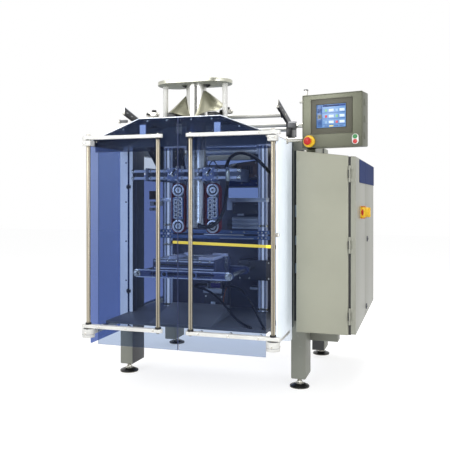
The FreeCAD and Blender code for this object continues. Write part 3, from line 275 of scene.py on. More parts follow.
def glowing(name, colour, strength, roughness=0.35):
    finish = Finish(name)
    cloud = finish.blended(finish.noise(14, 3), 0.3, 0.7)
    tint = finish.mix(cloud, scaled(colour, 0.94), colour)
    finish.set(Base_Color=tint, Roughness=cloud * 0.1 + roughness)
    finish.set(Emission_Color=tint, Emission_Strength=strength)
    return finish.material


POST_GREY = paint("post_grey", lit(148, 150, 140), 0.5, wear=0.3)
DARK_PAINT = paint("dark_paint", lit(74, 76, 86), 0.4)
BLACK_PAINT = paint("black_paint", lit(34, 35, 40), 0.38)
SLATE = paint("slate_paint", lit(104, 114, 136), 0.42)
PLATE_GREY = paint("plate_grey", lit(98, 100, 118), 0.45, wear=0.2)
YOKE_BLUE = paint("yoke_blue", lit(98, 124, 176), 0.42)
JAW_VIOLET = paint("jaw_violet", lit(72, 78, 108), 0.3)
PALE_VIOLET = paint("pale_violet", lit(206, 214, 244), 0.35)
SLIDER_BLUE = paint("slider_blue", lit(130, 146, 190), 0.35)
CABINET_PAINT = paint("cabinet_paint", lit(164, 165, 149), 0.42, grain=1100, coat=0.1)
# Darker copy of the cabinet paint for the leaves and hinges: painted shade that offsets the lamp light they
# get
SHADED_LEAF_PAINT = paint("leaf_paint_painted_shade", lit(154, 155, 143), 0.42, grain=1100, coat=0.1)
BAND_BLUE = paint("band_blue", lit(32, 52, 106), 0.7, sheen=0.12)
ROOF_PAINT = paint("roof_paint", lit(112, 114, 116), 0.35)
# The back of the hood glows: painted light that brightens it behind the hood glass
HOOD_BACK_PAINTED_LIGHT = glowing("hood_back_painted_light", lit(118, 126, 134), 0.5, 0.5)
SHELF_PAINT = paint("shelf_paint", lit(112, 114, 120), 0.5)
STEEL = metal("ground_steel", lit(214, 212, 204), 0.22)
ROLLER_STEEL = metal("roller_steel", lit(232, 232, 226), 0.4, (60, 1, 1), 60, 0.6)
# Glowing steel of the shafts, rods and strips: the glow is a painted highlight; the middle guide shafts take
# a brighter painted highlight
PAINTED_SHEEN_STEEL = glowing("painted_sheen_steel", lit(196, 208, 236), 0.1, 0.3)
LIT_SHAFT = glowing("lit_shaft", lit(232, 240, 255), 0.55, 0.3)
TUBE_STEEL = metal("tube_steel", lit(216, 216, 212), 0.26, (1, 1, 60), 60, 1.0, 0.0)
CHUTE_STEEL = metal("chute_steel", lit(150, 152, 158), 0.45, (1, 60, 1), 40, 0.3)
ALUMINIUM = metal("aluminium", lit(214, 220, 230), 0.38, (60, 1, 1), 50)
# Pale strip that glows: the glow is a painted highlight standing for the studio light the strips reflect
PAINTED_SHEEN_STRIP = glowing("painted_sheen_strip", lit(232, 240, 250), 0.46, 0.45)
CROSS_BLUE = metal("cross_blue", lit(78, 86, 124), 0.35, (60, 1, 1), 50, 0.5)
POST_SHADE = paint("post_shade", lit(78, 79, 80), 0.5)
STAINLESS = metal("stainless_sheet", lit(196, 196, 182), 0.33, (50, 50, 1), 40)
PANEL_STEEL = metal("panel_steel", lit(100, 102, 87), 0.34, (1, 50, 50), 40, 0.55)
SHOULDER = metal("shoulder_sheet", lit(190, 188, 166), 0.32, (1, 1, 40), 30, 0.85, 0.02)
POLISHED = metal("polished_sheet", lit(226, 226, 218), 0.16, (1, 1, 40), 30, 1.0, 0.05)
WHITE_PLASTIC = moulded("white_plastic", lit(236, 236, 232), 0.4)
CREAM = moulded("cream_rail", lit(240, 240, 236), 0.35)
BLACK_PLASTIC = moulded("black_plastic", lit(30, 30, 31), 0.45)
GREY_PLASTIC = moulded("grey_plastic", lit(120, 122, 126), 0.45)
CONNECTOR = moulded("connector_grey", lit(142, 160, 182), 0.35)
# Dark colour for painted shade in the gap between the right guard sheet and the cabinet
PAINTED_GAP_SHADE = moulded("painted_gap_shade", lit(46, 52, 58), 0.5)
FOOT_BLACK = moulded("foot_black", lit(26, 26, 26), 0.25, 500)
HOSE_BLACK = moulded("hose_black", lit(24, 25, 30), 0.35, 400)
BROWN = moulded("brown_cover", lit(104, 82, 72), 0.45)
BELT_RED = moulded("belt_red", lit(120, 26, 30), 0.55, 900)
# The yellow bar glows: painted light that makes it read brighter, though it is no lamp
YELLOW = glowing("yellow_bar_painted_glow", lit(250, 212, 70), 1.2)
SWITCH_YELLOW = moulded("switch_yellow", lit(246, 200, 44), 0.4)
SWITCH_AMBER = moulded("switch_amber", lit(206, 112, 30), 0.4)
RED = moulded("stop_red", lit(196, 26, 22), 0.35)
GREEN = moulded("button_green", lit(30, 130, 60), 0.35)
BEZEL = moulded("bezel_olive", lit(84, 83, 70), 0.45)
DOOR_GLASS = tinted("door_glass", lit(178, 191, 212), 0.01, lit(120, 140, 190))
HOOD_GLASS = tinted("hood_glass", lit(132, 142, 170), 0.03, lit(96, 106, 126))
# The side glass's tint darkens towards the bottom: painted shade
SIDE_GLASS = tinted("side_glass", lit(158, 177, 226), 0.01, lit(90, 110, 180), lit(122, 142, 202))
BACK_CLEAR = cast_clear("back_clear", lit(138, 158, 206))
LEFT_CLEAR = cast_clear("left_clear", lit(128, 142, 192))
# Covers behind the hood's slots glow: painted light standing for the bright background through the slots
SLOT_COVER_PAINTED_LIGHT = glowing("slot_cover_painted_light", lit(190, 205, 240), 0.45)
UNDER_STEEL = paint("under_steel", lit(166, 170, 160), 0.5)
SEAM_BLUE = moulded("seam_blue", lit(62, 72, 112), 0.4)
ROD_STEEL = metal("rod_steel", lit(176, 168, 150), 0.3, (1, 1, 60), 60, 0.75)
# Dark colour for the painted reflection down the middle of the door rods
PAINTED_ROD_REFLECTION = moulded("painted_dark_reflection", lit(74, 70, 60), 0.5)


# Mesh building


class Shape:
    """Collects bmesh primitives, each with its finish, into one piece."""

    def __init__(self):
        self.mesh = bpy.data.meshes.new("shape")
        self.bm = bmesh.new()
        self.finishes = []

    def slot(self, finish):
        if finish not in self.finishes:
            self.finishes.append(finish)
        return self.finishes.index(finish)

    def take(self, bm, finish, edge=0.0, segments=2, angle=30):
        """Bevels a primitive's sharp edges and adds it to the piece."""
        bmesh.ops.recalc_face_normals(bm, faces=bm.faces)
        if edge:
            sharp = [
                e for e in bm.edges
                if len(e.link_faces) == 2 and e.calc_face_angle(0) > math.radians(angle)
            ]
            bmesh.ops.bevel(
                bm, geom=sharp, offset=edge, offset_type="OFFSET", affect="EDGES",
                segments=segments, profile=0.5, material=-1, clamp_overlap=True,
            )
        index = self.slot(finish)
        for face in bm.faces:
            face.material_index = index
        bm.to_mesh(self.mesh)
        self.bm.from_mesh(self.mesh)
        bm.free()
        return self

    def block(self, x, y, z, finish, edge=0.8, turn=None, segments=2):
        bm = bmesh.new()
        bmesh.ops.create_cube(bm, size=1)
        size = Vector((x[1] - x[0], y[1] - y[0], z[1] - z[0]))
        middle = Vector((x[0] + x[1], y[0] + y[1], z[0] + z[1])) / 2
        bmesh.ops.scale(bm, vec=size, verts=bm.verts)
        if turn:
            bmesh.ops.transform(bm, matrix=turn, verts=bm.verts)
        bmesh.ops.translate(bm, vec=middle, verts=bm.verts)
        return self.take(bm, finish, edge, segments)

    def rod(self, start, end, radius, finish, edge=0.6, sides=24, tip=None):
        """Round bar, or a cone when its tip has another radius."""
        start = Vector(start)
        end = Vector(end)
        run = end - start
        bm = bmesh.new()
        bmesh.ops.create_cone(
            bm, cap_ends=True, segments=sides, radius1=radius,
            radius2=radius if tip is None else tip, depth=run.length,
        )
        turn = run.to_track_quat("Z", "Y").to_matrix().to_4x4()
        bmesh.ops.transform(
            bm, matrix=Matrix.Translation((start + end) / 2) @ turn, verts=bm.verts
        )
        return self.take(bm, finish, edge, 2, 40)

    def turned(self, profile, place, finish, axis="Z", sides=40, turn=None):
        """Profile of radius and height, spun right round an axis."""
        bm = bmesh.new()
        verts = [bm.verts.new((radius, 0, height)) for radius, height in profile]
        edges = [bm.edges.new(pair) for pair in zip(verts, verts[1:])]
        bmesh.ops.spin(
            bm, geom=verts + edges, cent=(0, 0, 0), axis=(0, 0, 1),
            angle=math.tau, steps=sides, use_merge=True,
        )
        bmesh.ops.remove_doubles(bm, verts=bm.verts, dist=0.01)
        turns = {
            "X": Matrix.Rotation(math.pi / 2, 4, "Y"),
            "Y": Matrix.Rotation(-math.pi / 2, 4, "X"),
            "-Y": Matrix.Rotation(math.pi / 2, 4, "X"),
            "Z": Matrix.Identity(4),
        }
        bmesh.ops.transform(
            bm, matrix=Matrix.Translation(place) @ (turn or turns[axis]), verts=bm.verts
        )
        return self.take(bm, finish)

    def plate(self, points, offset, thickness, finish, axis="Y", edge=0.8):
        """Flat outline pushed along an axis; points are the two other axes in order."""
        place = {
            "X": lambda a, b: (offset, a, b),
            "Y": lambda a, b: (a, offset, b),
            "Z": lambda a, b: (a, b, offset),
        }[axis]
        push = {"X": (thickness, 0, 0), "Y": (0, thickness, 0), "Z": (0, 0, thickness)}[axis]
        bm = bmesh.new()
        face = bm.faces.new([bm.verts.new(place(*point)) for point in points])
        made = bmesh.ops.extrude_face_region(bm, geom=[face], use_keep_orig=True)
        moved = [g for g in made["geom"] if isinstance(g, bmesh.types.BMVert)]
        bmesh.ops.translate(bm, vec=push, verts=moved)
        return self.take(bm, finish, edge)

    def screw(self, place, out, radius, finish=None, height=None, socket=True):
        """Round socket-head screw that stands out of a surface."""
        place = Vector(place)
        out = Vector(out).normalized()
        height = height or radius * 0.9
        profile = [(0, height * 0.45), (radius * 0.5, height * 0.45), (radius * 0.5, height)]
        if not socket:
            profile = [(0, height * 1.15), (radius * 0.6, height)]
        profile += [(radius * 0.86, height), (radius, height * 0.82), (radius, -0.5)]
        turn = out.to_track_quat("Z", "Y").to_matrix().to_4x4()
        return self.turned(profile, place, finish or STEEL, sides=14, turn=turn)

    def nut(self, place, out, radius, finish=None, height=None):
        place = Vector(place)
        end = place + Vector(out).normalized() * (height or radius)
        return self.rod(place, end, radius, finish or STEEL, radius * 0.12, 6)

    def done(self, name, body="frame", slot=None, replaces=(), smooth=32):
        """Turns the collected shape into a piece that rides on a body."""
        bmesh.ops.scale(self.bm, vec=(MM, MM, MM), verts=self.bm.verts)
        bmesh.ops.translate(self.bm, vec=ORIGIN * MM, verts=self.bm.verts)
        mesh = bpy.data.meshes.new(name)
        self.bm.to_mesh(mesh)
        self.bm.free()
        bpy.data.meshes.remove(self.mesh)
        return add_piece(name, mesh, self.finishes, body, replaces, smooth)


def add_piece(name, mesh, finishes, body, replaces=(), smooth=32):
    for finish in finishes:
        mesh.materials.append(finish)
    mesh.shade_smooth()
    mesh.set_sharp_from_angle(angle=math.radians(smooth))
    piece = bpy.data.objects.new(name, mesh)
    bpy.context.scene.collection.objects.link(piece)
    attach(piece, body)
    if replaces:
        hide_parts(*replaces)
    return piece


def cad_mesh(node, width, segments=2, finish=None, name=None, weld=0.02):
    """A node's own shape with its loose triangles joined and its edges rounded."""
    cad = frame["nodes"][node]
    bm = bmesh.new()
    bm.from_mesh(cad.data)
    bmesh.ops.remove_doubles(bm, verts=bm.verts, dist=weld * MM)
    bmesh.ops.dissolve_limit(
        bm, angle_limit=math.radians(1.0), use_dissolve_boundaries=False,
        verts=bm.verts, edges=bm.edges,
    )
    sharp = [
        e for e in bm.edges
        if len(e.link_faces) == 2 and e.calc_face_angle(0) > math.radians(40)
    ]
    bmesh.ops.bevel(
        bm, geom=sharp, offset=width * MM, offset_type="OFFSET", affect="EDGES",
        segments=segments, profile=0.5, material=-1, clamp_overlap=True,
    )
    mesh = bpy.data.meshes.new(f"{node}_dressed")
    bm.to_mesh(mesh)
    bm.free()
    return add_piece(
        name or f"{node}_dressed", mesh, [finish], cad["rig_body"], replaces=[node]
    )


# Finishes of the CAD nodes that keep their own mesh
KEPT = {
    "door_glass_left": DOOR_GLASS,
    "door_glass_right": DOOR_GLASS,
}

# Finish, edge rounding and its segments, for the nodes that keep their shape with rounded edges
DRESSED = {
    "frame_posts": (POST_GREY, 4, 3),
    "base_beams": (POST_GREY, 3, 2),
    "top_beams": (POST_GREY, 3, 2),
    "guard_shelf": (SHELF_PAINT, 1, 2),
    "machine_plate": (PLATE_GREY, 1, 2),
    # The hinge strips glow with a painted highlight
    "hinge_strips": (PAINTED_SHEEN_STRIP, 3, 3),
    "hood_roof": (ROOF_PAINT, 0.6, 1),
    "hood_ends": (HOOD_GLASS, 0.6, 1),
    "door_rails_left": (CREAM, 2.5, 3),
    "door_rails_right": (CREAM, 2.5, 3),
    "door_rods_left": (ROD_STEEL, 1, 2),
    "door_rods_right": (ROD_STEEL, 1, 2),
    "pivot_bearings": (WHITE_PLASTIC, 3, 3),
    "pivot_arms": (DARK_PAINT, 1.5, 2),
    "infeed_plate": (STAINLESS, 2, 3),
    "forming_tube": (TUBE_STEEL, 0.5, 1),
    "belt_units": (ALUMINIUM, 1.5, 2),
    # The carrier rods and guide shafts glow with a painted highlight
    "carrier_rods": (PAINTED_SHEEN_STEEL, 1, 2),
    "belt_sliders": (SLIDER_BLUE, 2, 2),
    "carrier_plates": (SLATE, 1.5, 2),
    "guide_shafts": (PAINTED_SHEEN_STEEL, 1, 2),
    "yoke_bars": (YOKE_BLUE, 1.5, 2),
    "drive_boxes": (DARK_PAINT, 2, 2),
    "drive_profiles": (ALUMINIUM, 1, 2),
    "jaw_drive": (ALUMINIUM, 1.5, 2),
    "discharge_chute": (CHUTE_STEEL, 1, 2),
    # The yellow bar glows with painted light
    "yellow_bar": (YELLOW, 1.5, 2),
    "crosshead_front": (CROSS_BLUE, 1.5, 2),
    "crosshead_rear": (CROSS_BLUE, 1.5, 2),
    "jaw_front": (JAW_VIOLET, 2, 2),
    "jaw_rear": (JAW_VIOLET, 2, 2),
    "jaw_guides": (STEEL, 1, 2),
    "roller_arms": (BLACK_PAINT, 1.2, 2),
    "film_rollers": (ROLLER_STEEL, 1, 2),
    "cabinet_body": (CABINET_PAINT, 4, 3),
    "cabinet_beams": (POST_GREY, 3, 2),
    "cabinet_door_front": (SHADED_LEAF_PAINT, 3, 3),
    "cabinet_door_rear": (SHADED_LEAF_PAINT, 3, 3),
    "band_front": (BAND_BLUE, 0.5, 1),
    "band_rear": (BAND_BLUE, 0.5, 1),
    "panel_box": (PANEL_STEEL, 5, 4),
    "panel_bezel": (BEZEL, 1.5, 2),
    "panel_mast": (PANEL_STEEL, 2, 2),
    "panel_stay": (STEEL, 1, 2),
    "pull_belts": (BELT_RED, 0.5, 1),
}


def paint_some(piece, finish, chosen):
    """Gives a second finish to the faces that are chosen by their middle and direction."""
    piece.data.materials.append(finish)
    for face in piece.data.polygons:
        if chosen(face.center / MM - ORIGIN, face.normal):
            face.material_index = 1


def in_the_shade(middle, normal):
    """The left posts' inner faces and the front of the right rear post get little light."""
    if middle.x < 0:
        return normal.x > 0.9 and middle.y < 0
    return normal.y < -0.9 and middle.y > 0


def on_middle_shaft(middle, normal):
    """The middle one of each three guide shafts catches the light."""
    return abs(abs(middle.x - MID_X) - SHAFT_HALF - SHAFT_PITCH) < 9


# Second finish of a node, and the faces that take it
SECOND_FINISHES = {
    "frame_posts": (POST_SHADE, in_the_shade),
    "guide_shafts": (LIT_SHAFT, on_middle_shaft),
    # The rear faces of the hood ends glow with painted light
    "hood_ends": (HOOD_BACK_PAINTED_LIGHT, lambda middle, normal: middle.y > -500),
    "infeed_plate": (UNDER_STEEL, lambda middle, normal: normal.z < -0.9),
    "pivot_arms": (CREAM, lambda middle, normal: normal.x > 0.9 and middle.z < 400),
}


def dress_nodes():
    for node, finish in KEPT.items():
        cad = frame["nodes"][node]
        cad.data.materials.clear()
        cad.data.materials.append(finish)
    for node, (finish, width, segments) in DRESSED.items():
        piece = cad_mesh(node, width, segments, finish)
        if node in SECOND_FINISHES:
            paint_some(piece, *SECOND_FINISHES[node])


def add_cabinet_hinges():
    """Hinges let into the leaves' edges, with their pins in the dark of the gap."""
    shape = Shape()
    for z in (440, 792, 1144):
        for skin, back in ((-688.3, -677), (441.3, 430)):
            span = sorted((skin, back))
            shape.block((824, 832.3), span, (z, z + 40), SHADED_LEAF_PAINT, 1)
            span = sorted((skin - math.copysign(3, skin), back))
            shape.block((819, 824), span, (z, z + 40), BLACK_PLASTIC, 0.6)
    shape.done("cabinet_hinges_let_in", slot="black_plastic", replaces=["cabinet_hinges"])


def seen_directly(finish):
    """1 for rays from the camera and for those that glass or polish sends on."""
    path = finish.tree.nodes.new("ShaderNodeLightPath")
    camera, glossy, through = (
        Socket(finish, path.outputs[name])
        for name in ("Is Camera Ray", "Is Glossy Ray", "Is Transmission Ray")
    )
    return camera.maths("MAXIMUM", camera.maths("MAXIMUM", camera, glossy), through)


class Sky(Finish):
    def __init__(self):
        world = bpy.data.worlds.new("studio")
        bpy.context.scene.world = world
        world.use_nodes = True
        self.tree = world.node_tree
        self.shader = self.tree.nodes["Background"]
        self.output = self.tree.nodes["World Output"]


def add_stage():
    """White floor that keeps the machine's shadow, under a white sky."""
    floor = Finish("floor_white")
    floor.set(Base_Color=(0.46, 0.46, 0.46), Roughness=0.95, Specular_IOR_Level=0.0)
    shown = seen_directly(floor)
    floor.set(Emission_Color=floor.mix(shown, (0, 0, 0), (0.755, 0.755, 0.755)), Emission_Strength=1.0)
    bm = bmesh.new()
    bmesh.ops.create_grid(bm, x_segments=1, y_segments=1, size=14)
    mesh = bpy.data.meshes.new("floor")
    bm.to_mesh(mesh)
    bm.free()
    mesh.materials.append(floor.material)
    stage = bpy.data.objects.new("floor", mesh)
    bpy.context.scene.collection.objects.link(stage)
    sky = Sky()
    # Polished pieces mirror the dim side of the studio in front of the machine
    ahead = sky.node(
        "ShaderNodeVectorMath", {"operation": "DOT_PRODUCT"}, sky.node("ShaderNodeTexCoord", None, out=0),
        (0.305, -0.952, 0.0), out=1,
    )
    path = sky.tree.nodes.new("ShaderNodeLightPath")
    glossy = Socket(sky, path.outputs["Is Glossy Ray"])
    dim = sky.blended(ahead, 0.86, 0.97) * glossy
    sky.set(Color=sky.mix(dim, (1, 1, 1), (0.1, 0.1, 0.1)))
    sky.set(Strength=seen_directly(sky) * 0.5 + 0.5)


def add_lamp(name, place, target, size, power, height=None):
    data = bpy.data.lights.new(name, "AREA")
    data.energy = power
    data.shape = "RECTANGLE"
    data.size = size
    data.size_y = height or size
    lamp = bpy.data.objects.new(name, data)
    lamp.location = place
    run = Vector(target) - Vector(place)
    lamp.rotation_euler = run.to_track_quat("-Z", "Y").to_euler()
    bpy.context.scene.collection.objects.link(lamp)


def add_camera():
    data = bpy.data.cameras.new("camera")
    data.sensor_width = 36
    data.lens = CAMERA_LENS
    data.shift_y = CAMERA_SHIFT
    camera = bpy.data.objects.new("camera", data)
    camera.location = CAMERA_PLACE
    camera.rotation_euler = (math.radians(90), 0, math.radians(CAMERA_TURN))
    bpy.context.scene.collection.objects.link(camera)
    bpy.context.scene.camera = camera
    bpy.context.scene.view_settings.view_transform = "Standard"


# Places shared by several pieces, from the CAD's own names
MID_X = -23.0
SIDES = (-1, 1)
PIVOT_Y = -850.0
PIVOTS = (MID_X - 504, MID_X + 504)
HANDLES = (MID_X - 101, MID_X + 77)
TUBE_Y = -556.0
CARRIER_Y = -640.0
CARRIER_LEVELS = (1153.0, 1192.0)
BELT_X = (MID_X - 101, MID_X + 101)
PULLEY_LEVELS = (888.0, 1088.0)
SHAFT_Y = -245.0
SHAFT_HALF = 278
SHAFT_PITCH = 22
SHAFTS = [MID_X + (SHAFT_HALF + SHAFT_PITCH * step) * hand for hand in SIDES for step in (0, 1, 2)]
GUARD_DOORS = ("guard_door_left", "guard_door_right")
PANEL_PLACE = Matrix.Translation((751, -650, 1298)) @ Matrix.Rotation(math.radians(-12.6), 4, "Z")


def add_glass():
    """Side sheets of the guard, and the clear sheets in the frame behind."""
    bm = bmesh.new()
    bm.from_mesh(frame["nodes"]["fixed_glass"].data)
    bmesh.ops.remove_doubles(bm, verts=bm.verts, dist=0.00002)
    for name, finish, slot, inside in (
        ("guard_side_glass", SIDE_GLASS, "tinted_glass", lambda x, y: x < -530),
        # The right side panel glows with a painted highlight
        ("guard_side_panel", PAINTED_SHEEN_STRIP, "aluminium", lambda x, y: x > 485),
        ("frame_left_glass", LEFT_CLEAR, "tinted_glass", lambda x, y: -530 < x < -500 and y < 300),
        ("frame_back_glass", BACK_CLEAR, "tinted_glass", lambda x, y: y > 300),
    ):
        part = bm.copy()
        gone = []
        for face in part.faces:
            middle = face.calc_center_bounds() / MM - ORIGIN
            if face.normal.y ** 2 > 0.9:
                middle.x = sum(v.co.x for v in face.verts) / len(face.verts) / MM - ORIGIN.x
            if not inside(middle.x, middle.y):
                gone.append(face)
        bmesh.ops.delete(part, geom=gone, context="FACES")
        bmesh.ops.dissolve_limit(
            part, angle_limit=math.radians(1.0), use_dissolve_boundaries=False,
            verts=part.verts, edges=part.edges,
        )
        mesh = bpy.data.meshes.new(name)
        part.to_mesh(mesh)
        part.free()
        add_piece(name, mesh, [finish], "frame", ["fixed_glass"])
    bm.free()


def smooth(share):
    """Eased step from 0 to 1."""
    share = min(1.0, max(0.0, share))
    return share * share * (3 - 2 * share)


def add_collar():
    """Forming shoulder: two wings that rise from the tube's front to its sides and flare out."""
    bm = bmesh.new()
    steps = 96
    rings = []
    for share in (0.0, 0.2, 0.4, 0.6, 0.8, 0.92, 1.0):
        ring = []
        for step in range(steps):
            angle = math.tau * step / steps
            turned = abs((angle + math.pi) % math.tau - math.pi)
            right = angle < math.pi
            rise = smooth(turned / (1.3 if right else 1.5))
            flare = smooth((turned - 0.08) / 0.95)
            climb = smooth((turned - 1.0) / 1.0)
            top = 1480 + (153 if right else 133) * rise
            low = 1478 + 34 * flare + (52 if right else 14) * climb
            radius = 58.5 + (2 + (92 if right else 96) * flare) * share
            height = top + (low - top) * share ** (1.12 if right else 1.0)
            ring.append(
                bm.verts.new(
                    (MID_X + radius * math.sin(angle), TUBE_Y - radius * math.cos(angle), height)
                )
            )
        edges = [bm.edges.new((ring[k], ring[(k + 1) % steps])) for k in range(steps)]
        rings.append(edges)
    for upper, lower in zip(rings, rings[1:]):
        bmesh.ops.bridge_loops(bm, edges=upper + lower)
    bmesh.ops.recalc_face_normals(bm, faces=bm.faces)
    bmesh.ops.solidify(bm, geom=bm.faces[:], thickness=2.0)
    shape = Shape()
    shape.take(bm, SHOULDER)
    shape.done("forming_shoulder", slot="stainless", replaces=["forming_collar"], smooth=50)
    stand = Shape()
    for low, high in ((-166, -112), (66, 120)):
        stand.block((low, high), (-640, -413), (1461, 1478), STAINLESS, 1.5)
        stand.block((low + 2, high - 2), (-636, -420), (1478, 1508), BLACK_PAINT, 2)
    stand.block((-112, 66), (-490, -413), (1461, 1508), BLACK_PAINT, 1.5)
    for x in (-140, 94):
        stand.screw((x, -640, 1469.5), (0, -1, 0), 5, STEEL, 3)
    stand.done("shoulder_stand", slot="dark_paint", replaces=["collar_stand"])


def add_door_seal():
    """Seal on the left door's free edge, where the two sheets meet."""
    shape = Shape()
    shape.block((-27.4, -25.4), (-824.6, -815.2), (264, 1458), SEAM_BLUE, 0.4)
    shape.done("door_seal", "guard_door_left", "black_plastic")


def add_rod_painted_reflections():
    """Dark strips let into the front of the door rods and turned toward the camera: a painted reflection of
    the studio's dim side.
    """
    for body, places in (
        ("guard_door_left", (HANDLES[0],)),
        ("guard_door_right", (HANDLES[1], PIVOTS[1])),
    ):
        shape = Shape()
        for x in places:
            turn = Matrix.Rotation(math.radians(16), 4, "Z")
            middle = Vector((x, PIVOT_Y, 0)) + Vector((0.276, -0.961, 0)) * 10.9
            across = (middle.x - 2.4, middle.x + 2.4)
            shape.block(across, (middle.y - 0.6, middle.y + 0.6), (384, 1342), PAINTED_ROD_REFLECTION, 0, turn)
        shape.done(f"{body}_painted_reflections", body, "black_plastic")


def add_feet():
    """Levelling feet: moulded pad in a bright rim, lock nut and threaded stem."""
    shape = Shape()
    for x in (-520, 520):
        for y in (-380, 380):
            pad = [
                (0, 3), (50, 3), (54, 5), (54.8, 9), (52, 12), (38, 17), (30, 21.5), (18, 22.5), (0, 22.5),
            ]
            shape.turned(pad, (x, y, 0), FOOT_BLACK)
            rim = [(45, 0.2), (54.6, 0.2), (54.9, 1.2), (54.9, 3.4), (52, 4.2), (45, 4.2), (45, 0.2)]
            shape.turned(rim, (x, y, 0), STEEL)
            collar = [(0, 20), (23, 20), (24, 21), (24, 24), (22, 25.5), (0, 25.5)]
            shape.turned(collar, (x, y, 0), STEEL)
            shape.nut((x, y, 25), (0, 0, 1), 17, STEEL, 10)
            thread = [(0, 34.5)]
            for turn in range(8):
                z = 35 + turn * 2.1
                thread += [(11.8, z), (10.6, z + 1.05)]
            thread += [(11.8, 51.8), (0, 51.8)]
            shape.turned(thread, (x, y, 0), STEEL)
    shape.done("levelling_feet_turned", slot="foot_rubber", replaces=["levelling_feet"])


def add_door_fittings():
    """Domed nuts on the rails, studs through the sheets and lips at the sheets' ends."""
    for body, pivot, handle in zip(GUARD_DOORS, PIVOTS, HANDLES):
        away = 1 if pivot > MID_X else -1
        shape = Shape()
        for rail, out in ((363 - 9, -1), (1363 + 9, 1)):
            dome = [(0, 7.5), (4, 7), (7.5, 4.5), (8.6, 0), (8.6, -0.6), (0, -0.6)]
            turn = Matrix.Identity(4) if out > 0 else Matrix.Rotation(math.pi, 4, "X")
            shape.turned(dome, (handle, PIVOT_Y, rail), STEEL, turn=turn)
            if out < 0:
                shape.rod((handle, PIVOT_Y, rail), (handle, PIVOT_Y, rail - 3.2), 11, BLACK_PLASTIC)
        outer = MID_X + 461 * away
        for level in (363, 1363):
            for step in (1, 7, 13):
                x = outer - 26 * step * away
                shape.screw((x, -816, level), (0, 1, 0), 9, STEEL, socket=False)
                shape.screw((x, PIVOT_Y - 13, level), (0, -1, 0), 5.5, STEEL, 2.2)
        for x in (pivot, handle):
            for level, step in ((363 + 9, 1), (1363 - 9, -1)):
                sleeve = [(11, -0.5), (15.2, -0.5), (15.8, 0.6), (15.8, 8.4), (15, 9.5), (11, 9.5)]
                turn = Matrix.Identity(4) if step > 0 else Matrix.Rotation(math.pi, 4, "X")
                shape.turned(sleeve + [(11, -0.5)], (x, PIVOT_Y, level), BLACK_PLASTIC, turn=turn)
        tip = [(0, 13.5), (7, 13), (10.4, 10), (11.6, 4), (11.6, -0.5), (0, -0.5)]
        shape.turned(tip, (pivot, PIVOT_Y, 1372), WHITE_PLASTIC)
        shape.done(f"{body}_fittings", body, "steel")


def add_pivot_fittings():
    """Set screws, seams and pinch bolts of the white bosses and bearings."""
    shape = Shape()
    for x in PIVOTS:
        away = 1 if x > MID_X else -1
        for y, out in ((PIVOT_Y - 34, (0, -1, 0)), (PIVOT_Y, (away, 0, 0))):
            place = (x if out[1] else x + 34 * away, y, 327)
            shape.screw(place, out, 5, STEEL, 2)
        groove = [(33.6, 320.6), (34.35, 320.6), (34.35, 322), (33.6, 322), (33.6, 320.6)]
        shape.turned(groove, (x, PIVOT_Y, 0), GREY_PLASTIC)
        skirt = [(22, 349.1), (25, 349.1), (25, 350.4), (12.5, 350.4), (12.5, 349.1), (22, 349.1)]
        shape.turned(skirt, (x, PIVOT_Y, 0), GREY_PLASTIC)
        shape.screw((x - 14, PIVOT_Y - 23, 1335), (0, -1, 0), 4.5, STEEL, 2.2)
        shape.screw((x + 14, PIVOT_Y - 23, 1335), (0, -1, 0), 4.5, STEEL, 2.2)
        shape.block((x - 22, x + 22), (PIVOT_Y - 23.4, PIVOT_Y - 22.8), (1334.4, 1335.4), GREY_PLASTIC, 0)
    shape.done("pivot_fittings", slot="white_plastic")


def add_hood_details():
    """Folded lips of the hood, covers behind its slots that glow with painted light, and screws along its
    edge.
    """
    shape = Shape()
    low = 1345
    high = 1458
    corners = [(-540, low), (MID_X - 225, high), (MID_X + 225, high), (494, low)]
    lip = [(x, z + 1) for x, z in corners] + [(x, z + 5) for x, z in corners[::-1]]
    shape.plate(lip, -813.5, 1.6, ALUMINIUM, edge=0.3)
    for x in (MID_X - 206, MID_X + 206):
        # The slot covers glow with painted light
        shape.block((x - 19, x + 19), (-808.6, -806.4), (1371, 1432), SLOT_COVER_PAINTED_LIGHT, 0.5)
    for x in (-500, -420, -340, 300, 380, 440):
        height = high - (abs(x - MID_X) - 225) * (high - low) / 292
        shape.screw((x, -812, height - 16), (0, -1, 0), 4.5, STEEL, 2)
    for x in (-200, -90, 44, 154):
        shape.screw((x, -812, 1446), (0, -1, 0), 4.5, STEEL, 2)
    shape.done("hood_details", slot="aluminium")
    roof = Shape()
    for x in (-235, 189):
        for y in (-770, -610, -450):
            roof.screw((x, y, 1461), (0, 0, 1), 5, STEEL, 2.4)
    roof.done("roof_screws", slot="steel")


def add_roof_clamps():
    """Clamps on small posts beside the forming set that hold the film's edge guides."""
    shape = Shape()
    for low, high, y, knob_up in ((-322, -246, -560, 1552), (100, 176, -520, 1556)):
        middle = (low + high) / 2
        base = 1458 - max(0, (abs(middle - MID_X) - 225) * 113 / 292)
        shape.block((middle - 24, middle + 24), (y - 20, y + 20), (base - 8, base + 9), BLACK_PAINT, 1.5)
        shape.rod((middle, y, base + 8), (middle, y, knob_up - 30), 9, STEEL)
        shape.block((low + 6, high - 6), (y - 16, y + 16), (knob_up - 50, knob_up - 26), STEEL, 2.5)
        shape.rod((low, y, knob_up - 38), (high, y, knob_up - 38), 8, STEEL)
        knob = [(0, 0), (11, 0), (13, 2), (13, 12), (11, 14), (0, 15)]
        shape.turned(knob, (middle + 8, y, knob_up - 26), BLACK_PLASTIC)
        shape.rod((middle - 18, y - 16, knob_up - 38), (middle - 18, y - 34, knob_up - 38), 7, BLACK_PLASTIC)
        shape.screw((middle + 18, y - 16, knob_up - 38), (0, -1, 0), 6, STEEL, 4)
    shape.done("roof_clamps", slot="steel")


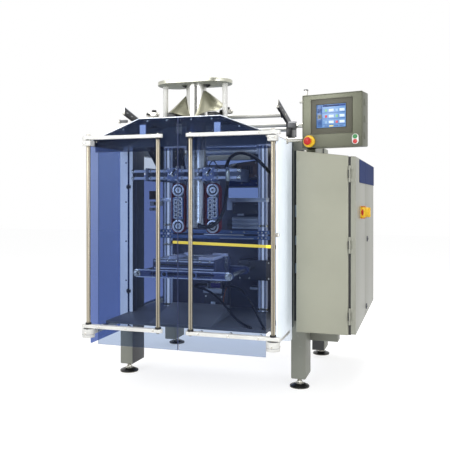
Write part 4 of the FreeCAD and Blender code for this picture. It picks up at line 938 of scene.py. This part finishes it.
def add_infeed_details():
    """Stands with seats and nuts, ribs under the plate and bolts on its top."""
    shape = Shape()
    for hand in SIDES:
        x = MID_X - 9 + 175 * hand
        stand = [
            (0, 1461), (20, 1461), (20, 1466), (16, 1468), (14, 1471), (14, 1657), (16.5, 1660), (16.5, 1668),
            (0, 1668),
        ]
        shape.turned(stand, (x, TUBE_Y, 0), WHITE_PLASTIC)
    shape.done("infeed_stands_turned", slot="white_plastic", replaces=["infeed_stands"])
    shape = Shape()
    for x in (-88, 42):
        shape.screw((x, -540, 1688), (0, 0, 1), 8, STEEL, 5)
    for hand in SIDES:
        shape.screw((MID_X - 9 + 175 * hand, TUBE_Y, 1688), (0, 0, 1), 9, STEEL, 3)
        inner = MID_X + 57 * hand
        outer = MID_X + 84 * hand
        rib = [(inner, 1668), (outer, 1668), (inner + 6 * hand, 1654), (inner, 1654)]
        for y in (TUBE_Y - 12, TUBE_Y + 9):
            shape.plate(rib, y, 3, BLACK_PAINT, edge=0.4)
    shape.done("infeed_ribs", slot="steel")


def add_roller_details():
    """Bright edge strips and screws on the roller arms, and collars on the rollers."""
    shape = Shape()
    reaches = ((398, 1506), (242, 1468), (160, 1450))
    steep = (1506 - 1450) / (398 - 160)
    front = 1450 + steep * (558 - 160)
    back = 1450 + steep * (80 - 160)
    strip = [(-558, front + 20.2), (-80, back + 20.2), (-80, back + 23.5), (-558, front + 23.5)]
    for outer, inner in ((-474, -460), (444, 430)):
        low = min(outer, inner)
        hand = 1 if outer > 0 else -1
        shape.plate(strip, low, 14, ALUMINIUM, axis="X", edge=0.5)
        for reach, height in reaches:
            shape.screw((outer, -reach, height), (hand, 0, 0), 8, STEEL, 3)
            shape.rod((inner, -reach, height), (inner - 9 * hand, -reach, height), 17, BLACK_PLASTIC)
        for reach in (470, 525):
            height = 1450 + steep * (reach - 160)
            along = (-reach - 14, -reach + 14)
            shape.block((low - 0.6, low + 14.6), along, (height - 4, height + 4), GREY_PLASTIC, 2)
        cap = [(-562, front - 20), (-558, front - 20), (-558, front + 23), (-562, front + 23)]
        shape.plate(cap, low, 14, STEEL, axis="X", edge=0.8)
    shape.rod((-519, -500, 1492), (-474, -500, 1492), 9, GREY_PLASTIC)
    shape.rod((-528, -500, 1492), (-519, -500, 1492), 12, STEEL)
    shape.done("roller_arm_details", slot="steel")


def add_belt_details():
    """Turned pulleys with hubs, holes in the suction boxes and screws on the plates."""
    shape = Shape()
    for x in BELT_X:
        for z in PULLEY_LEVELS:
            profile = [
                (0, 0), (5, 0), (5, 4), (10, 4), (11, 2.5), (17, 2.5), (18, 8), (24, 8), (25, 1.5), (27, 0.2),
                (33, 0.2), (35, 1), (36, 2.4), (36, 44), (0, 44),
            ]
            shape.turned(profile, (x, -578, z), ALUMINIUM, "Y")
            ring = [(18.2, 7.4), (24.2, 7.4), (24.2, 7.9), (18.2, 7.9), (18.2, 7.4)]
            shape.turned(ring, (x, -578, z), BLACK_PLASTIC, "Y")
            shape.screw((x, -573.5, z), (0, -1, 0), 7, STEEL, 6)
            shape.turned([(0, 0), (4, 0), (4, 0.6), (0, 0.6)], (x, -580.4, z), BLACK_PLASTIC, "Y", 16)
    shape.done("belt_pulleys_turned", slot="aluminium", replaces=["belt_pulleys"])
    shape = Shape()
    for x in BELT_X:
        shape.block((x - 31, x + 31), (-579.2, -577.6), (930, 1046), SLIDER_BLUE, 0.5)
        for row in range(5):
            for column, rise in ((-13, 0), (13, 10)):
                place = (x + column, -580.4, 940 + row * 22 + rise)
                ring = [(7.5, 0), (12.5, 0), (13, 0.6), (13, 1.6), (7.5, 1.6), (7.5, 0)]
                shape.turned(ring, place, POLISHED, "Y", 24)
                shape.rod(place, (place[0], -578.9, place[2]), 4.6, BLACK_PLASTIC, 0.2, 16)
        for z in (896, 1080):
            for shift in (-22, 22):
                shape.screw((x + shift, -524, z), (0, 1, 0), 5, STEEL, 3)
        teeth = 46
        for tooth in range(teeth):
            z = 888 + 200 * (tooth + 0.5) / teeth
            for hand in SIDES:
                edge = x + 40 * hand
                span = (edge, edge + 0.9) if hand > 0 else (edge - 0.9, edge)
                shape.block(span, (-577, -535), (z - 0.9, z + 0.9), BELT_RED, 0)
    shape.done("belt_unit_details", slot="aluminium")


def add_carrier_details():
    """Knobs, stop rings and clamps on the carrier rods, and the bracket at the tube."""
    shape = Shape()
    left = MID_X - 348
    right = MID_X + 276
    for z in CARRIER_LEVELS:
        knob = [(0, -9), (7, -8.5), (10.5, -5), (11, 0), (10.5, 5), (8, 9), (8, 12), (0, 12)]
        shape.turned(knob, (left + 4, CARRIER_Y, z), POLISHED, "X")
        cap = [(0, -12), (8, -12), (11, -8), (11, 6), (8, 9), (0, 9)]
        shape.turned(cap, (right - 4, CARRIER_Y, z), POLISHED, "X")
        for x in (-176, -72, 26, 130, -258, 193):
            shape.rod((x - 5, CARRIER_Y, z), (x + 5, CARRIER_Y, z), 12, ALUMINIUM)
            shape.screw((x, CARRIER_Y - 11.6, z), (0, -1, 0), 3.2, BLACK_PLASTIC, 1)
    shape.block((-14, 2), (CARRIER_Y - 20, CARRIER_Y - 10), (1146, 1199), WHITE_PLASTIC, 2)
    shape.block((-30, -14), (CARRIER_Y - 20, CARRIER_Y - 10), (1186, 1199), WHITE_PLASTIC, 2)
    shape.block((-30, -14), (CARRIER_Y - 20, CARRIER_Y - 10), (1146, 1159), WHITE_PLASTIC, 2)
    shape.block((184, 201), (CARRIER_Y - 24, CARRIER_Y - 12), (1134, 1190), STAINLESS, 2)
    for x in BELT_X:
        for shift in (-20, 20):
            for z in (1143, 1172.5, 1202):
                shape.screw((x + shift, CARRIER_Y - 16, z), (0, -1, 0), 4.2, STEEL, 2.5)
        shape.block((x - 7, x + 7), (CARRIER_Y - 22, CARRIER_Y - 16), (1160, 1186), STEEL, 1.2)
        lever_end = (x + 24, CARRIER_Y - 44, 1196)
        shape.rod((x, CARRIER_Y - 22, 1173), (x, CARRIER_Y - 30, 1173), 8, STEEL)
        shape.rod((x, CARRIER_Y - 27, 1173), lever_end, 4, BLACK_PLASTIC, tip=5.5)
    shape.done("carrier_details", slot="steel")


def add_shaft_details():
    """Stop rings, end caps and clamp bolts of the guide shafts, and the yoke's strips."""
    shape = Shape()
    for x in SHAFTS:
        for z in (392, 760, 880):
            shape.rod((x, SHAFT_Y, z - 7), (x, SHAFT_Y, z + 7), 10.4, STEEL)
        shape.turned([(0, 4), (6, 4), (9, 0), (9, -0.5), (0, -0.5)], (x, SHAFT_Y, 1350), STEEL)
        for z in (810, 842):
            shape.screw((x, SHAFT_Y - 22, z), (0, -1, 0), 5, WHITE_PLASTIC, 2.5)
        shape.screw((x, SHAFT_Y, 1312), (0, -1, 0), 3, STEEL, 2)
    shape.block((MID_X - 60, MID_X + 190), (SHAFT_Y - 24.5, SHAFT_Y - 22), (822, 829), ALUMINIUM, 0.5)
    shape.block((MID_X + 40, MID_X + 250), (SHAFT_Y - 24.5, SHAFT_Y - 22), (803, 808), ALUMINIUM, 0.5)
    for x in (-200, -60, 90, 170):
        shape.screw((x, SHAFT_Y - 22, 842), (0, -1, 0), 5, STEEL, 2.5)
    shape.done("shaft_details", slot="steel")


def add_jaw_details():
    """Serrated faces, heater leads, hex bolts and end caps of the sealing jaws."""
    for body, front, back, out in (
        ("jaw_carriage_front", -751, -586, -1),
        ("jaw_carriage_rear", -526, -486, 1),
    ):
        shape = Shape()
        face = -586 if out < 0 else -526
        for step in range(11):
            z = 630 + step * 8.4
            shape.rod((-196, face, z), (150, face, z), 1.6, STEEL, 0, 8)
        for step in range(6):
            x = -175 + step * 60.8
            shape.screw((x, (front + back) / 2, 721), (0, 0, 1), 7, STEEL, 4)
            shape.nut((x, (front + back) / 2 - 12 * out, 720.5), (0, 0, 1), 6, STEEL, 4)
        shape.block((-190, 144), (front + 4, back - 4), (720.6, 723.4), ALUMINIUM, 0.6)
        skin = front if out < 0 else back
        # Dark and glowing strips on the jaw face; the glow of the light ones is a painted highlight
        for step in range(5):
            z = 632 + step * 19
            span = sorted((skin, skin + 2.4 * out))
            shape.block((-190, 144), span, (z, z + 7), BLACK_PAINT if step % 2 else PAINTED_SHEEN_STEEL, 0.8)
        for x in (-170, -110, -60, 14, 70, 124):
            shape.nut((x, skin + 2.4 * out, 713), (0, out, 0), 6, STEEL, 4)
        for low, high in ((-112, -70), (58, 142)):
            shape.block((low, high), (front + 8, back - 8), (723.2, 737), PALE_VIOLET, 1.5)
        outer = -775 if out < 0 else -462
        for x in (MID_X - 256, MID_X + 256):
            ring = [(12, 0), (20.5, 0), (21, 0.6), (21, 1.8), (20, 2.4), (12, 2.4), (12, 0)]
            shape.turned(ring, (x, outer, 645), STEEL, "-Y" if out < 0 else "Y")
            for angle in range(4):
                turn = math.radians(45 + 90 * angle)
                place = (x + 16 * math.cos(turn), outer + 2.2 * out, 645 + 16 * math.sin(turn))
                shape.screw(place, (0, out, 0), 2.4, BLACK_PLASTIC, 1)
        # Glowing strips along the crossheads' top and bottom edges: painted edge highlights
        for low, high in ((623.5, 629.5), (660.5, 666.5)):
            span = sorted((outer, outer + 1.2 * out))
            shape.block((-276, 230), span, (low, high), PAINTED_SHEEN_STEEL, 0.5)
        for x in (-122, 42):
            well = [(0, 0.6), (15, 0.6), (17, 1.6), (19, 1.6), (19, 0), (0, 0)]
            shape.turned(well, (x, outer, 645), SLIDER_BLUE, "-Y" if out < 0 else "Y")
            shape.nut((x, outer + 0.6 * out, 645), (0, out, 0), 12, BLACK_PAINT, 2)
        for x in (-186, -96, -70, 20, 66, 140):
            shape.screw((x, outer, 659), (0, out, 0), 3.4, STEEL, 2)
            shape.screw((x, outer, 631), (0, out, 0), 3.4, STEEL, 2)
        shape.done(f"{body}_details", body, "steel")


def add_drive_details():
    """Covers, lids, plugs and screws on the boxes of the machine plate."""
    shape = Shape()
    front = -240
    cover = [(82, 1166), (240, 1166), (240, 1261), (82, 1240)]
    shape.plate(cover, front - 2.2, 2, BROWN)
    for x, z in ((90, 1174), (232, 1174), (232, 1252), (90, 1233), (160, 1170)):
        shape.screw((x, front - 2.2, z), (0, -1, 0), 4.5, STEEL, 2)
    for x in range(150, 220, 14):
        shape.block((x, x + 8), (front - 4, front - 2), (1186, 1236), BLACK_PAINT, 0.6)
    shape.block((58, 242), (front - 1.8, front), (1113, 1152), BAND_BLUE, 0.6)
    for x in (66, 146, 236):
        shape.screw((x, front - 1.8, 1132), (0, -1, 0), 4, STEEL, 2)
    shape.block((96, 240), (front - 1.8, front), (955, 1011), DARK_PAINT, 0.6)
    for x, z in ((102, 961), (234, 961), (102, 1005), (234, 1005)):
        shape.screw((x, front - 1.8, z), (0, -1, 0), 3.6, STEEL, 2)
    shape.block((120, 160), (front - 6, front), (940, 951), ALUMINIUM, 1)
    shape.block((141, 330), (-287, -285), (570, 676), DARK_PAINT, 0.6)
    for x, z in ((148, 577), (148, 668), (206, 577), (206, 668), (322, 577), (322, 668)):
        shape.screw((x, -287, z), (0, -1, 0), 5, STEEL, 3)
    for x in (64, 82):
        shape.rod((x, front, 886), (x, front - 10, 886), 6, BLACK_PLASTIC)
    shape.block((-276, -249), (-258, -240), (1240, 1350), BLACK_PAINT, 2)
    shape.block((-243, -216), (-258, -240), (1240, 1350), BLACK_PAINT, 2)
    for x in (-262, -230):
        shape.block((x - 7, x + 7), (-256, -242), (1212, 1240), WHITE_PLASTIC, 2)
    oblique = [(-222, 1300), (-204, 1306), (-180, 1206), (-198, 1200)]
    shape.plate(oblique, -250, 6, ALUMINIUM)
    shape.done("drive_box_details", slot="dark_paint")


def add_plate_details():
    """Blocks, bracket, guides and plugs on the left part of the machine plate and its post."""
    shape = Shape()
    shape.block((-482, -400), (-172, -150), (994, 1022), WHITE_PLASTIC, 2)
    shape.block((-450, -432), (-176, -172), (1000, 1016), BLACK_PLASTIC, 1)
    shape.block((-484, -436), (-176, -152), (1034, 1088), BROWN, 2)
    shape.block((-484, -440), (-174, -152), (962, 982), WHITE_PLASTIC, 2)
    shape.rod((-452, -176, 972), (-452, -184, 972), 6, GREY_PLASTIC)
    shape.done("plate_blocks", slot="white_plastic")
    bracket = Shape()
    outline = [(-484, 1150), (-420, 1150), (-420, 1186), (-438, 1186), (-452, 1198), (-484, 1198)]
    bracket.plate(outline, -176, 24, JAW_VIOLET, edge=1.5)
    bracket.rod((-458, -176, 1174), (-458, -184, 1174), 7, STEEL)
    arch = [(-486, 1200), (-440, 1206), (-424, 1222), (-428, 1228), (-446, 1216), (-486, 1212)]
    bracket.plate(arch, -176, 14, BLACK_PAINT, edge=1.5)
    # Glowing bar: its glow is a painted highlight
    bracket.block((-306, -294), (-168, -152), (1196, 1340), PAINTED_SHEEN_STEEL, 2)
    bracket.block((-330, -278), (-182, -166), (1024, 1040), WHITE_PLASTIC, 2)
    bracket.done("plate_brackets", slot="aluminium")


def add_cabinet_details():
    """Locks, lifting inserts and the switch of the cabinet."""
    switch = Shape()
    y = -418
    z = 969
    switch.block((857, 859.5), (y - 33, y + 33), (z - 33, z + 33), SWITCH_YELLOW, 1)
    switch.block((859, 880), (y - 31, y + 31), (z - 31, z + 31), SWITCH_YELLOW, 5, segments=4)
    switch.turned([(0, 0), (27, 0), (27, 14), (24, 18), (0, 18)], (879, y, z), SWITCH_YELLOW, "X")
    switch.block((893, 907), (y - 10, y + 10), (z - 26, z + 26), SWITCH_YELLOW, 4, segments=3)
    switch.block((896, 905), (y + 9, y + 33), (z - 24, z - 17), STEEL, 1)
    switch.block((896, 905), (y + 9, y + 33), (z + 17, z + 24), STEEL, 1)
    for span in ((z - 33, z - 27), (z + 27, z + 33)):
        switch.block((861, 882), (y - 32, y + 32), span, SWITCH_AMBER, 2)
    switch.block((861, 874), (y - 32.6, y - 30), (z - 8, z + 8), RED, 1)
    for step in (-30, 30):
        switch.block((864, 872), (y + step - 2, y + step + 2), (z - 16, z + 16), RED, 1)
        for rise in (-25, 25):
            switch.screw((880, y + step * 0.8, z + rise), (1, 0, 0), 3, STEEL, 1.6)
    switch.done("isolator_dressed", "cabinet_leaf_front", "yellow", ["isolator_switch"])
    locks = Shape()
    for y, z in ((-56, 805), (-115, 420)):
        locks.turned([(0, 0), (17, 0), (17, 3), (14, 6), (0, 6)], (857, y, z), DARK_PAINT, "X")
        locks.turned([(0, 0), (9, 0), (9, 1), (0, 1)], (862.6, y, z), STEEL, "X", 20)
        locks.block((863, 865), (y - 1.5, y + 1.5), (z - 6, z + 6), BLACK_PLASTIC, 0.4)
    locks.done("cabinet_locks", "cabinet_leaf_rear", "steel")
    seams = Shape()
    for z in (368, 1244):
        seams.block((821, 832.7), (-668, 424), (z, z + 6), BLACK_PLASTIC, 0.4)
    for y in (-674, 420):
        seams.block((821, 832.7), (y, y + 7), (368, 1250), BLACK_PLASTIC, 0.4)
    seams.done("cabinet_gasket", slot="black_plastic")
    body = Shape()
    for y in (-640, -60, 390):
        body.screw((600, y, 1281), (-0.02, 0, 1), 8, STEEL, 6, socket=False)
    for z in (420, 640, 860, 1080, 1240):
        body.screw((572, -677, z), (0, -1, 0), 4.5, CABINET_PAINT, 2)
    body.done("cabinet_screws", slot="steel")


def finish_panel(shape, name, slot, replaces=()):
    """Turns a piece made in the panel's own frame into its place."""
    bmesh.ops.transform(shape.bm, matrix=PANEL_PLACE, verts=shape.bm.verts)
    return shape.done(name, slot=slot, replaces=replaces)


def rims(across, up, width):
    """Spans of the four strips round the inside of a rectangle."""
    return (
        (across, (up[0], up[0] + width)),
        (across, (up[1] - width, up[1])),
        ((across[0], across[0] + width), up),
        ((across[1] - width, across[1]), up),
    )


def add_panel_details():
    """Screen with plain tiles, stop button, push buttons and the panel's frame."""
    blue = glowing("screen_blue", lit(96, 136, 186), 0.36, 0.15)
    pale = glowing("screen_pale", lit(190, 206, 222), 0.38, 0.15)
    deep = glowing("screen_deep", lit(62, 98, 152), 0.34, 0.15)
    ink = glowing("screen_ink", lit(40, 48, 70), 0.3, 0.15)
    green = glowing("screen_green", lit(110, 170, 120), 0.4, 0.15)
    sand = glowing("screen_sand", lit(214, 194, 90), 0.45, 0.15)
    navy = glowing("screen_navy", lit(40, 66, 130), 0.35, 0.15)
    sky = glowing("screen_sky", lit(132, 168, 204), 0.34, 0.15)
    red = glowing("screen_red", lit(176, 60, 70), 0.4, 0.15)
    middle = -1.5
    left = middle - 76
    screen = Shape()
    screen.block((left, left + 152), (-49.9, -49), (96.5, 210.5), blue, 0.2)

    def tile(x, z, wide, high, finish):
        screen.block((left + x, left + x + wide), (-50.3, -49.8), (96.5 + z, 96.5 + z + high), finish, 0.1)

    tile(2, 2, 28, 110, deep)
    tile(32, 103, 118, 9, navy)
    tile(42, 104, 76, 7, ink)
    for row in range(3):
        z = 16 + row * 29
        tile(5, z, 22, 21, sand if row == 1 else navy)
        tile(12, z + 6, 8, 9, ink if row == 1 else deep)
        tile(33, z - 3, 116, 3, deep)
        for column in range(2):
            x = 38 + column * 56
            tile(x + 26, z + 4, 26, 13, pale)
            tile(x + 6, z + 4, 12, 12, (sky, red, green)[(row + column) % 3])
    for step in range(4):
        tile(42 + step * 26, 4, 20, 6, sand if step == 1 else deep)
    finish_panel(screen, "screen_tiles", "screen", ["panel_screen"])
    bezel = Shape()
    across = (middle - 107.5, middle + 107.5)
    up = (66, 241)
    for x, z in rims(across, up, 4):
        bezel.block(x, (-51.5, -48), z, BEZEL, 1)
    across = (left - 3, left + 155)
    up = (93.5, 213.5)
    for x, z in rims(across, up, 3):
        bezel.block(x, (-51, -48.6), z, BLACK_PLASTIC, 0.6)
    finish_panel(bezel, "bezel_frame", "bezel")
    stop = Shape()
    stop.turned([(0, 0), (30, 0), (30, 9), (27, 13), (22, 14), (0, 14)], (-118, -45, 32), SWITCH_YELLOW, "-Y")
    finish_panel(stop, "stop_disc_turned", "yellow", ["stop_disc"])
    head = Shape()
    profile = [(0, 22), (10, 21), (17, 18.5), (20, 14.5), (19.5, 11), (14, 8.5), (12.5, 5), (12.5, 0), (0, 0)]
    head.turned(profile, (-118, -59, 32), RED, "-Y")
    finish_panel(head, "stop_head_turned", "stop_red", ["stop_head"])
    buttons = Shape()
    x = 122
    outline = []
    for step in range(34):
        turn = math.pi * (step if step < 17 else step - 1) / 16
        outline.append((x + 16.5 * math.cos(turn), 34 + (9 if step < 17 else -9) + 16.5 * math.sin(turn)))
    buttons.plate(outline, -52, 7, WHITE_PLASTIC, edge=1.5)
    for rise, finish in ((12, GREEN), (-12, RED)):
        buttons.turned([(0, 0), (11, 0), (11, 2.5), (9.5, 4), (0, 4)], (x, -52, 34 + rise), finish, "-Y", 24)
    finish_panel(buttons, "push_buttons_turned", "white_plastic", ["push_buttons"])
    box = Shape()
    rim = 1.6
    for x, z in rims((-156, 156), (0, 265), 3):
        box.block(x, (-45 - rim, -44.5), z, PANEL_STEEL, 0.7)
    box.block((-154, 154), (-28, -26.6), (-0.6, 0.6), BLACK_PLASTIC, 0.2)
    for z in (50, 132, 214):
        box.block((155.4, 157.2), (-20, 20), (z - 16, z + 16), PANEL_STEEL, 0.6)
    finish_panel(box, "panel_rim", "stainless")


def add_mast_details():
    """Clamp and knob on the mast, and the joints beside the panel."""
    shape = Shape()
    shape.block((-159, -108), (42, 92), (196, 236), BLACK_PAINT, 3)
    knob = [(0, 0), (10, 0), (10, 8), (17, 10), (18, 14), (18, 24), (15, 28), (0, 29)]
    shape.turned(knob, (-159, 60, 224), BLACK_PLASTIC, turn=Matrix.Rotation(-math.pi / 2, 4, "Y"))
    shape.block((-154, -138), (-30, -14), (264, 298), STEEL, 2)
    shape.block((-155.5, -136.5), (-31.5, -12.5), (292, 300), GREY_PLASTIC, 2)
    shape.block((-176, -155), (-14, 10), (232, 250), STEEL, 3)
    shape.rod((-174, -2, 241), (-188, -2, 241), 7, WHITE_PLASTIC)
    shape.block((-172, -158), (-10, 6), (224, 233), BLACK_PLASTIC, 2)
    shape.screw((-134, 42, 216), (0, -1, 0), 6, STEEL, 4)
    finish_panel(shape, "mast_clamp", "black_plastic")


def add_corner_details():
    """Hex block, spindle and brackets between the guard's right corner and the cabinet."""
    shape = Shape()
    shape.rod((476, -470, 1436), (520, -470, 1436), 24, GREY_PLASTIC, 2, 6)
    shape.rod((518, -470, 1436), (562, -470, 1436), 13, POLISHED)
    shape.rod((560, -470, 1436), (566, -470, 1436), 17, STEEL)
    shape.block((470, 500), (-490, -400), (1372, 1420), BLACK_PAINT, 2)
    shape.done("corner_spindle", slot="steel")
    shape = Shape()
    for low, high in ((934, 1013), (782, 845), (628, 695)):
        shape.block((505, 523), (-436, -420.5), (low, high), CONNECTOR, 4, segments=3)
        for z in (low - 4, high - 6):
            shape.block((502, 526), (-438, -420), (z, z + 10), BLACK_PLASTIC, 1.5)
    # Thin dark sheet on the right front post's front: painted shade
    shape.block((498, 559.5), (-422, -420.2), (372, 1304), PAINTED_GAP_SHADE, 0.5)
    for z in (1110, 740, 560):
        shape.screw((520, -422, z), (0, -1, 0), 6, STEEL, 4)
    shape.done("corner_connectors", slot="steel")
    strip = Shape()
    for x in (-492, 446):
        for z in (330, 560, 790, 1020, 1250):
            strip.screw((x, -478, z), (0, -1, 0), 5.5, STEEL, 2.5)
    strip.block((-482, -471), (-479.4, -477.8), (270, 1343), BAND_BLUE, 0.5)
    strip.block((-452.4, -450.8), (-474, -421), (270, 1343), DARK_PAINT, 0.3)
    # Thin dark strip at the right side sheet's rear edge: painted shade in the gap
    strip.block((493.6, 495.4), (-463, -429), (341, 1344), PAINTED_GAP_SHADE, 0.3)
    for z in (498, 1109):
        strip.rod((-477, -482, z - 14), (-477, -482, z + 14), 6, BLACK_PLASTIC)
        strip.block((-490, -462), (-481.5, -477.5), (z - 9, z + 9), DARK_PAINT, 1)
    strip.rod((497, -815, 856), (497, -815, 872), 8, STEEL)
    strip.block((486, 500), (-818, -812), (854, 874), STEEL, 1)
    strip.done("strip_details", slot="aluminium")


def add_frame_details():
    """Bolts and end plates on the posts and beams."""
    shape = Shape()
    for x in (-520, 520):
        for y, out in ((-420, -1), (420, 1)):
            for z in (309, 347):
                if y > 0:
                    shape.nut((x, y, z), (0, out, 0), 10, STEEL, 5)
                    shape.rod((x, y, z), (x, y + 2 * out, z), 14, STEEL)
        hand = 1 if x > 0 else -1
        for y in (-338, 338):
            for z in (309, 347):
                shape.nut((x + 40 * hand, y, z), (hand, 0, 0), 10, STEEL, 5)
    shape.done("frame_bolts", slot="steel")


def curve_piece(name, route, radius, finish, body="frame", replaces=()):
    """Smooth cord or hose through the inside of its route's corners."""
    data = bpy.data.curves.new(name, "CURVE")
    data.dimensions = "3D"
    data.resolution_u = 8
    data.bevel_depth = radius * MM
    data.bevel_resolution = 4
    data.use_fill_caps = True
    spline = data.splines.new("NURBS")
    spline.points.add(len(route) - 1)
    for point, place in zip(spline.points, route):
        point.co = (*((Vector(place) + ORIGIN) * MM), 1)
    spline.order_u = 3
    spline.use_endpoint_u = True
    data.materials.append(finish)
    piece = bpy.data.objects.new(name, data)
    bpy.context.scene.collection.objects.link(piece)
    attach(piece, body)
    if replaces:
        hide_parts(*replaces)
    return piece


MAIN_HOSE = [
    (9.5, -602.2, 893), (30.2, -631.6, 893), (76, -640, 886), (112, -622, 904), (137, -598, 946),
    (147, -568, 1003), (140, -520, 1072), (124, -450, 1145), (112, -380, 1205), (110, -310, 1235),
    (110, -240.3, 1235),
]
OVER_HOSE = [
    (66, -240.3, 1190), (66, -282, 1190), (76, -325, 1235), (112, -348, 1288), (170, -352, 1308),
    (232, -348, 1292), (280, -335, 1255), (318, -300, 1205), (338, -225, 1165), (338, -152.3, 1165),
]
LEFT_HOSE = [
    (-30.3, -320, 532.5), (-80, -322, 534), (-112, -362, 533), (-80, -412, 530), (-12, -440, 524),
    (69, -490, 499), (144, -550, 455), (205, -610, 415), (267, -670, 389), (330, -725, 385.3),
]
RIGHT_HOSE = [
    (83.5, -350.3, 533), (83.5, -388, 533), (163, -428, 545), (222, -478, 530), (283, -545, 484),
    (335, -608, 432), (378, -665, 392), (405, -728, 385.3),
]


def add_hoses():
    """Air hoses with their fittings, and the small leads beside them."""
    for name, route, radius in (
        ("main_hose", MAIN_HOSE, 10),
        ("over_hose", OVER_HOSE, 10),
        ("left_hose", LEFT_HOSE, 7),
        ("right_hose", RIGHT_HOSE, 7),
    ):
        piece = curve_piece(name, route, radius, HOSE_BLACK, replaces=["air_hoses"])
    lead = [
        (29, -500, 1212), (36, -500, 1240), (56, -500, 1256), (72, -498, 1236), (85, -495, 1216),
        (110, -480, 1200),
        (126, -450, 1198), (140, -400, 1204), (150, -330, 1206), (152, -242, 1206),
    ]
    piece = curve_piece("sensor_lead", lead, 3, BLACK_PLASTIC)
    copper = moulded("copper_lead", lit(168, 92, 44), 0.4)
    wire = [
        (88, -352, 520), (100, -372, 540), (96, -400, 520), (84, -400, 470), (80, -395, 430), (84, -380, 400),
        (90, -350, 381),
    ]
    piece = curve_piece("earth_lead", wire, 2.2, copper)
    shape = Shape()
    for place, out, radius in (
        ((9.5, -602.2, 893), (0.575, -0.818, 0), 10),
        ((110, -240.3, 1235), (0, -1, 0), 10),
        ((66, -240.3, 1190), (0, -1, 0), 10),
        ((338, -152.3, 1165), (0, -1, 0), 10),
        ((-30.3, -320, 532.5), (-1, 0, 0), 7),
        ((83.5, -350.3, 533), (0, -1, 0), 7),
    ):
        place = Vector(place)
        out = Vector(out).normalized()
        shape.rod(place, place + out * 10, radius * 1.6, STEEL, 1.2, 6)
        shape.rod(place + out * 9, place + out * 20, radius * 1.35, BLACK_PLASTIC, 1.5)
    for x, y in ((330, -725), (405, -728)):
        shape.rod((x, y, 378), (x, y, 388), 11, BLACK_PLASTIC, 1.5)
    shape.done("hose_fittings", slot="steel")


def add_drive_cylinder():
    """End covers, tie rods and ports of the cylinder that works the jaws."""
    shape = Shape()
    for low, high in ((-30, -16), (45, 59.6)):
        shape.block((low, high), (-342, -298), (511, 555), DARK_PAINT, 2)
    for y in (-337, -303):
        for z in (516, 550):
            shape.rod((-31, y, z), (61, y, z), 3, STEEL)
            shape.nut((61, y, z), (1, 0, 0), 5, STEEL, 3)
    violet = moulded("violet_sleeve", lit(84, 70, 140), 0.35)
    shape.rod((-15.6, -320, 532.5), (44.6, -320, 532.5), 18.4, violet)
    for x, z in ((-40, 470), (56, 470), (-40, 396), (56, 396)):
        shape.screw((x, -350, z), (0, -1, 0), 5, WHITE_PLASTIC, 2.6)
    shape.block((-9, 16), (-351.2, -339), (381, 438), ALUMINIUM, 1)
    shape.done("jaw_drive_details", slot="aluminium")


def add_yellow_ends():
    """Black caps on the two ends of the yellow bar."""
    shape = Shape()
    for x in (-71, 486):
        z = 816 if x < 0 else 804
        span = (x - 0.5, x + 9) if x < 0 else (x - 9, x)
        shape.block(span, (-804.5, -787.5), (z - 8.5, z + 8.5), BLACK_PLASTIC, 1)
    shape.done("yellow_bar_ends", slot="black_plastic")


add_camera()
add_stage()
add_lamp("key", (-2.1, -3.9, 2.5), (0, 0, 0.8), 2.2, 78)
add_lamp("fill", (3.2, -2.4, 2.2), (0, 0, 0.8), 2.4, 16)
add_lamp("top", (0.2, 0.6, 4.0), (0, 0, 0.8), 2.6, 85)
add_lamp("strip", (2.1, -2.98, 1.25), (-0.19, -0.335, 1.1), 0.8, 36, 2.3)
dress_nodes()
add_glass()
add_hoses()
add_yellow_ends()
add_collar()
add_door_seal()
add_rod_painted_reflections()
add_feet()
add_door_fittings()
add_pivot_fittings()
add_hood_details()
add_roof_clamps()
add_infeed_details()
add_roller_details()
add_belt_details()
add_carrier_details()
add_shaft_details()
add_jaw_details()
add_drive_details()
add_drive_cylinder()
add_plate_details()
add_cabinet_hinges()
add_cabinet_details()
add_panel_details()
add_mast_details()
add_corner_details()
add_frame_details()
